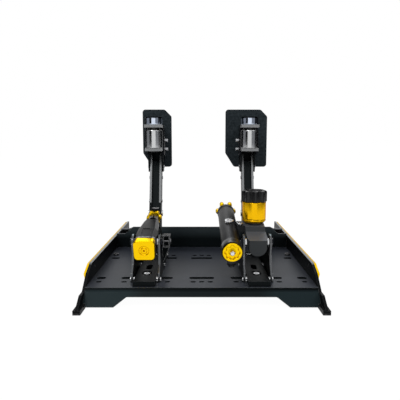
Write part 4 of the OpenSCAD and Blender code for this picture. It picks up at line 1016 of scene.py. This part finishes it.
@dataclass
class VibrationMotor(PedalPart):
    """Motor can, its mount, the turning weight and the bright cover over it."""

    FINISHES = {BLASTED_GREY: ("motor_mount",), BRIGHT_STEEL: ("motor_weight",)}

    roll: float = 0.8 * MM
    shoulder: float = 3.6 * MM
    boss_r: float = 6.0 * MM
    neck_r: float = 11.0 * MM
    core_edge: float = 0.3 * MM
    cover_wall: float = 1.6 * MM
    cover_edge: float = 4.0 * MM
    edge_steps: int = 8

    @functools.cached_property
    def axis(self) -> Axis:
        """Upright axis of the motor, from the ground."""
        x, y, _ = JOINTS[self.node("motor_spin")]["pos_m"]
        return Axis.through((x, y, 0.0), (0.0, 0.0, 1.0))

    def build(self) -> None:
        """Turns the can, the core that shows at its ends, and the cover."""
        self.build_can(self.node("motor"))
        self.build_cover(self.node("motor_cover"))

    def build_can(self, can: str) -> None:
        """Turned can with a round shoulder, and the boss and neck of the core that stand out of it.

        Args:
            can: The motor's CAD node.
        """
        low, high = self.axis.span(can)
        r = self.axis.reach(can)
        points = self.axis.points(can)
        ends = points[points[:, 1] > r - self.roll, 0]
        floor, roof = float(ends.min()), float(ends.max())
        waist = (floor + roof) / 2
        shell = np.vstack((
            soft_outline([(floor, 0.0), (floor, r), (waist, r)], self.roll),
            soft_outline([(waist, r), (roof, r), (roof, 0.0)], self.shoulder, self.edge_steps),
        ))
        stand(f"{can}_can", turned(self.axis, shell), MOTOR_STEEL, self.pedal.body, [can])
        core = [
            (low, 0.0), (low, self.boss_r), (floor + self.roll, self.boss_r), (roof - self.roll, self.neck_r),
            (high, self.neck_r), (high, 0.0),
        ]
        grid = turned(self.axis, soft_outline(core, self.core_edge))
        stand(f"{can}_core", grid, BLACK_ANODISED, self.pedal.body)

    def build_cover(self, cover: str) -> None:
        """Turned cup with round edges outside and inside.

        Args:
            cover: The cover's CAD node.
        """
        base, top = self.axis.span(cover)
        r = self.axis.reach(cover)
        inner, roof = r - self.cover_wall, top - self.cover_wall
        outside = [(base, inner), (base, r), (top, r), (top, 0.0)]
        inside = [(roof, 0.0), (roof, inner), (base, inner)]
        shell = np.vstack([soft_outline(wall, self.cover_edge, self.edge_steps) for wall in (outside, inside)])
        stand(f"{cover}_shell", turned(self.axis, shell), MIRROR_COVER, self.pedal.body, [cover])


@dataclass
class SpringCartridge(SubAssembly):
    """Throttle's spring cartridge: housing, gold cap, seam, spring, rod and preload ring, and the sensor by it."""

    FINISHES = {
        HOUSING_GREY: ("cartridge_housing",),
        BLACK_ANODISED: ("cartridge_rod",),
        FRAME_BLACK: ("sensor_bracket",),
        PLASTIC: ("sensor_body",),
    }

    corner: float = 6.5 * MM
    bevel: float = 2.6 * MM
    bevel_rows: int = 7
    groove_r: float = 6.0 * MM
    groove_half: float = 1.9 * MM
    groove_depth: float = 1.7 * MM
    groove_rows: int = 9
    hole_r: float = 1.5 * MM
    hole_depth: float = 6.0 * MM
    cap_steps: int = 160
    seam: float = 3.4 * MM
    lip: float = 1.1 * MM
    proud: float = 0.12 * MM
    lobes: int = 6
    lobe_r: float = 4.9 * MM
    core_r: float = 10.6 * MM
    lobe_edge: float = 1.2 * MM
    bore_r: float = 9.1 * MM
    ring_steps: int = 180
    coil_r: float = 8.6 * MM
    wire_r: float = 1.3 * MM
    turns: float = 6.0
    coil_rows: int = 240
    wire_sides: int = 12

    @functools.cached_property
    def axis(self) -> Axis:
        """The cartridge's axis, measured from its trunnion pins."""
        return Axis.through(JOINTS["cartridge_swing"]["pos_m"], JOINTS["preload_ring_turn"]["axis"])

    def build(self) -> None:
        """Makes the cap, the seam behind it, the preload ring and the spring."""
        self.build_cap()
        self.build_seam()
        self.build_ring()
        self.build_spring()

    def build_cap(self) -> None:
        """Rounded square cap: squares that shrink over a quarter round, then circles, with a half-sine channel."""
        face, back = self.axis.span("cartridge_end_cap")
        low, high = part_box("cartridge_end_cap")
        half = (high.x - low.x) / 2
        angle = angles(self.cap_steps)
        rows: list[Row] = [(back, 0.0), (back, round_square(angle, half, self.corner))]
        for bend in np.linspace(0.0, math.pi / 2, self.bevel_rows):
            inset = self.bevel * (1.0 - math.cos(bend))
            along = face + self.bevel * (1.0 - math.sin(bend))
            rows.append((along, round_square(angle, half - inset, self.corner - inset)))
        channel = np.linspace(0.0, math.pi, self.groove_rows)
        depth, radius = self.groove_depth * np.sin(channel), self.groove_half * np.cos(channel)
        rows += zip(face + depth, self.groove_r + radius)
        floor = face + self.hole_depth
        rows += [(face, self.hole_r), (floor, self.hole_r), (floor, 0.0)]
        stand("cartridge_cap", stacked(self.axis, rows), GOLD, "cartridge", ["cartridge_end_cap"])

    def build_seam(self) -> None:
        """Dark seam and bare lip behind the cap: rounded square bands just proud of the housing."""
        _, back = self.axis.span("cartridge_end_cap")
        low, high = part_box("cartridge_housing")
        half = (high.x - low.x) / 2 + self.proud
        angle = angles(self.cap_steps)
        outer = round_square(angle, half, self.corner)
        inner = round_square(angle, half - self.corner / 2, self.corner / 2)
        middle = back + self.seam
        bands = (("cartridge_seam", back, middle, BLACK_ANODISED),
                 ("cartridge_lip", middle, middle + self.lip, TURNED_STEEL))
        for name, first, last, finish in bands:
            rows = [(first, inner), (first, outer), (last, outer), (last, inner)]
            stand(name, stacked(self.axis, rows), finish, "cartridge", close_rows=True)

    def build_ring(self) -> None:
        """Lobed ring with softened edges round the rod's neck."""
        start, end = self.axis.span("preload_ring")
        reach = self.axis.reach("preload_ring")
        rim = lobed(angles(self.ring_steps), self.lobes, reach, self.lobe_r, self.core_r)
        rows = [(start, self.bore_r), *soft_wall(start, end, rim, self.lobe_edge), (end, self.bore_r)]
        grid = stacked(self.axis, rows)
        stand("preload_hand_ring", grid, GOLD, "preload_ring", ["preload_ring"], close_rows=True)

    def build_spring(self) -> None:
        """Coil spring: a circle carried along a helix of radius r, with (r cos a, pitch a, r sin a)."""
        axis = self.axis
        start, end = axis.span("cartridge_spring")
        t = np.linspace(0.0, 1.0, self.coil_rows)
        along = start + self.wire_r + (end - start - 2 * self.wire_r) * t
        out = axis.spokes(math.tau * self.turns * t)
        middle = self.coil_r * out + along[:, None] * axis.along
        tangent = np.gradient(middle, axis=0)
        tangent /= np.linalg.norm(tangent, axis=1, keepdims=True)
        side = np.cross(tangent, out)
        wire = angles(self.wire_sides)[None, :, None]
        ring = np.cos(wire) * out[:, None] + np.sin(wire) * side[:, None]
        thick = np.full((len(t), 1, 1), self.wire_r)
        thick[[0, -1]] = 0.0
        grid = (axis.origin + middle)[:, None] + thick * ring
        spring = stand("cartridge_coil", grid, TURNED_STEEL, "cartridge", ["cartridge_spring"])
        squash(spring, axis, start)


@dataclass
class Reservoir(SubAssembly):
    """Gold brake fluid reservoir and its black lobed cap."""

    foot: float = 3.0 * MM
    groove: float = 0.8 * MM
    groove_up: float = 4.6 * MM
    wall: float = 2.5 * MM
    floor: float = 6.0 * MM
    soft: float = 0.9 * MM
    lobes: int = 8
    lobe_r: float = 4.7 * MM
    core_step: float = 3.4 * MM
    cap_drop: float = 1.6 * MM
    clear: float = 0.3 * MM
    edge: float = 1.6 * MM
    rim: float = 6.0 * MM
    recess: float = 4.0 * MM
    plug: float = 8.0 * MM
    cap_steps: int = 192

    @functools.cached_property
    def axis(self) -> Axis:
        """Upright axis of the reservoir, from its cap's joint."""
        return Axis.through(JOINTS["reservoir_cap_turn"]["pos_m"], (0.0, 0.0, 1.0))

    def build(self) -> None:
        """Makes the reservoir and the cap, whose plug fits its bore."""
        inner = self.axis.reach("reservoir") - self.wall
        self.build_pot(inner)
        self.build_cap(inner - self.clear)

    def build_pot(self, inner: float) -> None:
        """Turned pot with a bevelled foot and a groove above it.

        Args:
            inner: Radius of its bore.
        """
        low, high = self.axis.span("reservoir")
        r, groove, floor = inner + self.wall, low + self.groove_up, low + self.floor
        outline = [
            (low, 0.0), (low, r - self.foot), (low + self.foot, r), (groove, r),
            (groove + self.groove / 2, r - self.groove), (groove + 2 * self.groove, r),
            (high, r), (high, inner), (floor, inner), (floor, 0.0),
        ]
        grid = turned(self.axis, soft_outline(outline, self.soft))
        stand("fluid_reservoir", grid, RESERVOIR_GOLD, "brake_cylinders", ["reservoir"])

    def build_cap(self, plug_r: float) -> None:
        """Lobed cap whose rows narrow from the lobes to the core over its upper edge, with a recess on top.

        Args:
            plug_r: Radius of the plug under it.
        """
        low, high = self.axis.span("reservoir_cap")
        high -= self.cap_drop
        skirt = low + self.plug + self.clear
        r = self.axis.reach("reservoir_cap")
        core, ring, edge = r - self.core_step, r - self.rim, self.edge
        wave = lobed(angles(self.cap_steps), self.lobes, r, self.lobe_r, core)
        rows = [
            (low, 0.0), (low, plug_r), (skirt, plug_r), (skirt, wave - edge / 2),
            (skirt + edge / 2, wave), (high - 2 * edge, wave), (high - 1.2 * edge, wave - 0.25 * edge),
            (high - 0.5 * edge, (wave + core) / 2 - 0.4 * edge), (high, core - edge), (high, ring + edge / 2),
            (high - edge / 2, ring), (high - self.recess, ring - edge / 2), (high - self.recess, 0.0),
        ]
        stand("reservoir_lid", stacked(self.axis, rows), BLACK_ANODISED, "reservoir_cap", ["reservoir_cap"])


@dataclass
class SideCylinder(SubAssembly):
    """Brake's master cylinder, and the cylinder beside it with its knobs, fittings and elastomer stack."""

    FINISHES = {BLOCK_BLACK: ("master_cylinder",), TURNED_STEEL: ("push_rod", "side_piston")}

    # Tube and end rings
    tube_r: float = 15.0 * MM
    ring_len: float = 10.0 * MM
    collar: float = 6.5 * MM
    collar_room: float = 0.4 * MM
    far_ring_len: float = 7.0 * MM
    far_step: float = 1.0 * MM
    soft: float = 0.7 * MM
    # Near knob and its stud
    knob_edge: float = 1.0 * MM
    recess: float = 3.0 * MM
    recess_lobes: int = 8
    recess_r: float = 11.2 * MM
    recess_lobe: float = 2.9 * MM
    recess_core: float = 9.1 * MM
    hole_r: float = 5.4 * MM
    hole_depth: float = 2.5 * MM
    stud_flat: float = 3.3 * MM
    stud_out: float = 4.0 * MM
    stud_taper: float = 0.75
    near_steps: int = 192
    # Far knob
    far_len: float = 11.0 * MM
    far_lobes: int = 6
    far_lobe: float = 4.0 * MM
    far_core: float = 12.6 * MM
    far_dish: float = 0.6
    far_steps: int = 240
    # Bleed plug on top
    plug_along: float = 46.0 * MM
    plug_r: float = 7.4 * MM
    plug_tall: float = 4.0 * MM
    plug_dish_r: float = 3.2 * MM
    plug_dish: float = 1.4 * MM
    teeth: int = 26
    tooth: float = 0.25 * MM
    tooth_steps: int = 8
    shank_r: float = 4.0 * MM
    shank: float = 2.0 * MM
    # Banjo bolt beside it
    banjo_place: tuple[float, float, float] = (2.5 * MM, 38.0 * MM, 13.0 * MM)
    banjo_r: float = 5.0 * MM
    banjo_tall: float = 4.0 * MM
    washer_r: float = 3.0 * MM
    washer: float = 1.0 * MM
    socket_flat: float = 2.1 * MM
    socket: float = 2.0 * MM
    # Pressure sensor under the near ring
    sensor_flat: float = 6.9 * MM
    sensor_tall: float = 8.0 * MM
    sensor_bevel: float = 0.8 * MM
    sensor_taper: float = 0.93
    sensor_root: float = 4.0 * MM
    nose_r: float = 5.0 * MM
    nose: float = 4.0 * MM
    fitting_edge: float = 0.5 * MM
    hex_steps: int = 96
    # Elastomer stack
    pucks: int = 4
    puck_rows: int = 40
    puck_waist: float = 0.86
    puck_power: float = 0.4
    puck_steps: int = 64

    @functools.cached_property
    def axis(self) -> Axis:
        """The side cylinder's axis, measured from beside the trunnion pins.

        Returns:
            The axis.
        """
        joint = JOINTS["near_knob_turn"]
        axis = Axis.through(joint["pos_m"], joint["axis"])
        trunnion = np.asarray(JOINTS["brake_cylinder_swing"]["pos_m"])
        return axis.moved(along=float((trunnion - axis.origin) @ axis.along))

    def build(self) -> None:
        """Makes the tube, rings, knobs, fittings and stack."""
        self.build_tube()
        self.build_near_knob()
        self.build_far_knob()
        self.build_plug()
        self.build_banjo()
        self.build_sensor()
        self.build_stack()

    def build_tube(self) -> None:
        """Turned tube with a black ring on each end."""
        near, far = self.axis.span("side_cylinder")
        r, ring = self.tube_r, self.axis.reach("side_cylinder")
        start, end = near + self.ring_len, far - self.far_ring_len
        tube = [(start, 0.0), (start, r), (end, r), (end, 0.0)]
        knob = self.axis.reach("near_knob") + self.collar_room
        lip = near - self.collar
        near_ring = [(near, 0.0), (near, knob), (lip, knob), (lip, ring), (start, ring), (start, 0.0)]
        far_ring = [(end, 0.0), (end, r + self.far_step), (far, r + self.far_step), (far, 0.0)]
        for name, outline, finish, nodes in (
            ("side_tube", tube, TUBE_GREY, ["side_cylinder"]),
            ("side_tube_near_ring", near_ring, BLACK_ANODISED, []),
            ("side_tube_far_ring", far_ring, BLACK_ANODISED, []),
        ):
            stand(name, turned(self.axis, soft_outline(outline, self.soft)), finish, "brake_cylinders", nodes)

    def build_near_knob(self) -> None:
        """Round knob with a wavy recess, and the hexagon stud in its middle."""
        face, _ = self.axis.span("near_knob")
        seat, _ = self.axis.span("side_cylinder")
        r = self.axis.reach("near_knob")
        wave = lobed(angles(self.near_steps), self.recess_lobes, self.recess_r, self.recess_lobe, self.recess_core)
        edge, floor = self.knob_edge, face + self.recess
        hole = floor + self.hole_depth
        rows = [
            (seat, 0.0), (seat, r), (face + edge, r), (face + 0.3 * edge, r - 0.3 * edge), (face, r - edge),
            (face, wave + 0.9 * edge), (face + 0.9 * edge, wave), (floor - 0.2 * edge, wave),
            (floor, wave - 0.2 * edge), (floor, self.hole_r), (hole, self.hole_r - 0.2 * edge), (hole, 0.0),
        ]
        stand("near_hand_knob", stacked(self.axis, rows), KNOB_GOLD, "near_knob", ["near_knob"])
        flat = hexagon(angles(self.hex_steps), self.stud_flat)
        tip = face - self.stud_out
        rows = [(hole, 0.0), (hole, flat), (tip + 0.8 * edge, flat), (tip, self.stud_taper * flat), (tip, 0.0)]
        stand("near_knob_stud", stacked(self.axis, rows), BRIGHT_STEEL, "near_knob")

    def build_far_knob(self) -> None:
        """Knob with separate round lobes and a dished end."""
        _, end = self.axis.span("far_knob")
        start = end - self.far_len
        reach = self.axis.reach("far_knob")
        wave = lobed(angles(self.far_steps), self.far_lobes, reach, self.far_lobe, self.far_core)
        edge, dish = self.knob_edge, self.far_dish * self.far_core
        rows = [(start, 0.0), *soft_wall(start, end, wave, edge), (end, dish),
                (end - 2 * edge, dish - edge), (end - 2 * edge, 0.0)]
        stand("far_hand_knob", stacked(self.axis, rows), GOLD, "far_knob", ["far_knob"])

    def build_plug(self) -> None:
        """Serrated bleed plug on top of the tube: radius r + t cos(n a) over n teeth."""
        seat, edge = self.tube_r, self.fitting_edge
        foot, top = seat - self.shank, seat + self.plug_tall
        dish = top - self.plug_dish
        rim = self.plug_r + self.tooth * np.cos(self.teeth * angles(self.tooth_steps * self.teeth))
        rows = [
            (foot, 0.0), (foot, self.shank_r), (seat, self.shank_r), (seat, rim - edge), (seat + edge, rim),
            (top - 1.2 * edge, rim), (top, rim - 1.6 * edge), (top, self.plug_dish_r),
            (dish, self.plug_dish_r - 0.4 * edge), (dish, 0.0),
        ]
        axis = self.axis.moved(along=self.plug_along).upright()
        stand("bleed_plug", stacked(axis, rows), BRIGHT_STEEL, "brake_cylinders", ["brake_fittings"])

    def build_banjo(self) -> None:
        """Round bolt head with a hexagon socket, on a narrower washer."""
        side, along, up = self.banjo_place
        bevel, top = 1.2 * self.fitting_edge, self.banjo_tall
        socket, floor = hexagon(angles(self.hex_steps), self.socket_flat), top - self.socket
        rows = [
            (0.0, 0.0), (0.0, self.washer_r), (self.washer, self.washer_r), (self.washer, self.banjo_r),
            (top - bevel, self.banjo_r), (top, self.banjo_r - bevel), (top, socket), (floor, socket), (floor, 0.0),
        ]
        axis = self.axis.moved(self.tube_r + side, along, up).upright()
        stand("banjo_bolt", stacked(axis, rows), BRIGHT_STEEL, "brake_cylinders")

    def build_sensor(self) -> None:
        """Hexagon sensor that hangs under the near ring, with a round nose."""
        near, _ = self.axis.span("side_cylinder")
        root = -self.axis.reach("side_cylinder")
        neck, head = root + self.sensor_root, root - self.sensor_tall
        tip, bevel = head - self.nose, 1.2 * self.fitting_edge
        flats = hexagon(angles(self.hex_steps), self.sensor_flat)
        taper = self.sensor_taper * flats
        rows = [
            (neck, 0.0), (neck, self.sensor_root), (root, self.sensor_root), (root, taper),
            (root - self.sensor_bevel, flats), (head + self.sensor_bevel, flats), (head, taper),
            (head, self.nose_r), (tip + bevel, self.nose_r), (tip, self.nose_r - bevel), (tip, 0.0),
        ]
        axis = self.axis.moved(along=near + self.ring_len / 2).upright()
        stand("pressure_sensor", stacked(axis, rows), BLACK_ANODISED, "brake_cylinders")

    def build_stack(self) -> None:
        """Elastomer pucks: radius r (w + (1 - w) |sin|^p) along the stack, one arch for each puck."""
        start, end = self.axis.span("elastomer_stack")
        t = np.linspace(0.0, 1.0, self.puck_rows * self.pucks + 1)
        arch = np.abs(np.sin(math.pi * self.pucks * t)) ** self.puck_power
        radius = self.axis.reach("elastomer_stack") * (self.puck_waist + (1.0 - self.puck_waist) * arch)
        outline = np.stack((start + (end - start) * t, radius), axis=1)
        grid = turned(self.axis, np.vstack(([start, 0.0], outline, [end, 0.0])), self.puck_steps)
        stack = stand("elastomer_pucks", grid, ELASTOMER, "brake_cylinders", ["elastomer_stack"])
        squash(stack, self.axis, end)


# Studio

CARD_DARK: Colour = (0.012, 0.0125, 0.014)
CARD_GREY: Colour = (0.24, 0.245, 0.26)
SEEN_RAYS = ("Camera", "Glossy", "Transmission")


@dataclass(frozen=True)
class Lamp:
    """A soft box: where it hangs, its power in watts, and its width and height."""

    name: str
    place: tuple[float, float, float]
    power: float
    size: tuple[float, float]


@dataclass(frozen=True)
class Card:
    """A curved card: degrees round the object, 0 in front and 90 on the brake's side, and its colour."""

    first: float
    last: float
    shade: Colour


@dataclass
class Studio:
    """Pale floor, white world, soft lamps, dark cards for the metal to reflect, and the camera."""

    floor_half: float = 30.0
    floor_pale: float = 0.9
    floor_white: float = 1.05
    floor_share: float = 0.93
    shadow_side: float = 0.97
    shadow_front: float = 0.68
    shadow_edge: float = 6.67 * MM
    world_dim: float = 0.4
    lamp_target: tuple[float, float, float] = (0.0, 0.0, 0.1)
    lamps: tuple[Lamp, ...] = (
        Lamp("key_box", (-0.9, -1.3, 1.7), 14.0, (1.0, 1.0)),
        Lamp("fill_box", (1.4, -0.8, 1.2), 7.0, (0.9, 0.9)),
        Lamp("rim_box", (0.1, 1.4, 1.6), 9.0, (1.4, 0.7)),
    )
    cards: tuple[Card, ...] = (
        Card(-56.0, -26.0, CARD_DARK), Card(-98.0, -56.0, CARD_GREY), Card(-150.0, -98.0, CARD_DARK),
        Card(24.0, 66.0, CARD_GREY), Card(66.0, 150.0, CARD_DARK),
    )
    card_far: float = 1.6
    card_tall: float = 1.7
    card_steps: int = 12
    camera_place: tuple[float, float, float] = (0.0, -0.8044, 0.244)
    camera_pitch: float = 7.853
    clip_start: float = 0.01
    focal_px: float = 435.0
    frame_px: float = 400.0
    centre_px: float = 201.7
    sensor: float = 36.0

    def seen_rays(self, graph: Graph) -> Value:
        """1 for camera, glossy and transmission rays, which see the white background."""
        path = graph.node("ShaderNodeLightPath")
        return graph.clamp(sum(graph.value(path, f"Is {kind} Ray") for kind in SEEN_RAYS))

    def build_floor(self) -> None:
        """Flat pale floor that is white where it is seen, keeps a soft shadow, and stays dark under the tray."""
        material, graph = new_graph("studio_floor")
        pale = graph.node("ShaderNodeBsdfDiffuse", None, {"Color": (*[self.floor_pale] * 3, 1.0)})
        white = graph.node("ShaderNodeEmission", None, {"Color": (*EVEN, 1.0), "Strength": self.floor_white})
        place = graph.place()
        side, deep = abs(graph.part(place, "X")), graph.part(place, "Y")
        (left, front, _), (_, back, _) = CAD_BOX
        under = graph.ramp(side, -self.shadow_side * left, -self.shadow_edge)
        under = under * graph.ramp(deep, self.shadow_front * front, self.shadow_edge)
        under = under * graph.ramp(deep, back, -self.shadow_edge)
        share = self.seen_rays(graph) * (1.0 - under) * self.floor_share
        both = graph.node("ShaderNodeMixShader", None, {0: share, 1: pale.outputs[0], 2: white.outputs[0]})
        graph.node("ShaderNodeOutputMaterial", None, {"Surface": both.outputs[0]})
        line = np.linspace(-self.floor_half, self.floor_half, 3)
        grid = np.stack((*np.meshgrid(line, line), np.zeros((3, 3))), axis=-1)
        link("studio_floor", grid_mesh("studio_floor", grid, material))

    def build_world(self) -> None:
        """White world where it is seen, and a dimmer one where it lights."""
        world = bpy.data.worlds.new("studio_world")
        world.use_nodes = True
        graph = Graph(world.node_tree)
        strength = self.seen_rays(graph) * (1.0 - self.world_dim) + self.world_dim
        back = graph.node("ShaderNodeBackground", None, {"Color": (*EVEN, 1.0), "Strength": strength})
        graph.node("ShaderNodeOutputWorld", None, {"Surface": back.outputs[0]})
        bpy.context.scene.world = world

    def hang(self, lamp: Lamp) -> None:
        """Hangs a soft box that faces the object.

        Args:
            lamp: The soft box.
        """
        light = bpy.data.lights.new(lamp.name, "AREA")
        light.shape = "RECTANGLE"
        light.size, light.size_y = lamp.size
        light.energy = lamp.power
        box = link(lamp.name, light)
        box.location = lamp.place
        way = box.location.copy()
        way.xyz = [target - place for target, place in zip(self.lamp_target, lamp.place)]
        box.rotation_euler = way.to_track_quat("-Z", "Y").to_euler()

    def put_up(self, name: str, card: Card) -> None:
        """Stands up a card, an arc (far sin a, -far cos a) from the floor up, that only reflections see.

        Args:
            name: The card's name.
            card: The card.
        """
        turn = np.radians(np.linspace(card.first, card.last, self.card_steps))
        foot = self.card_far * np.stack((np.sin(turn), -np.cos(turn), np.zeros(self.card_steps)), axis=1)
        grid = np.stack((foot, foot + np.array((0.0, 0.0, self.card_tall))))
        material, graph = new_graph(name)
        glow = graph.node("ShaderNodeEmission", None, {"Color": (*card.shade, 1.0)})
        graph.node("ShaderNodeOutputMaterial", None, {"Surface": glow.outputs[0]})
        board = link(name, grid_mesh(name, grid, material))
        for kind in ("camera", "diffuse", "transmission", "shadow"):
            setattr(board, f"visible_{kind}", False)

    def build_camera(self) -> None:
        """Camera of the photograph, from its focal length in pixels."""
        data = bpy.data.cameras.new("photo_camera")
        data.sensor_fit = "HORIZONTAL"
        data.sensor_width = self.sensor
        data.lens = self.sensor * self.focal_px / self.frame_px
        data.shift_x = (self.frame_px / 2 - self.centre_px) / self.frame_px
        data.clip_start = self.clip_start
        camera = link("photo_camera", data)
        camera.location = self.camera_place
        camera.rotation_euler = (math.radians(90.0 - self.camera_pitch), 0.0, 0.0)
        bpy.context.scene.camera = camera

    def build(self) -> None:
        """Sets the stage."""
        self.build_floor()
        self.build_world()
        self.build_camera()
        for lamp in self.lamps:
            self.hang(lamp)
        for index, card in enumerate(self.cards):
            self.put_up(f"studio_card_{index}", card)
        bpy.context.scene.view_settings.view_transform = "Standard"


def main() -> None:
    """Builds and dresses each sub-assembly in order, then sets the stage."""
    logging.basicConfig(level=logging.INFO, format="%(name)s %(message)s")
    parts: list[SubAssembly] = [Base()]
    for pedal in Pedal:
        parts += [PedalFrame(pedal), PedalArm(pedal), VibrationMotor(pedal)]
    parts += [SpringCartridge(), Reservoir(), SideCylinder()]
    for part in parts:
        part.build()
        part.dress()
    Studio().build()


if __name__ == "__main__":
    main()
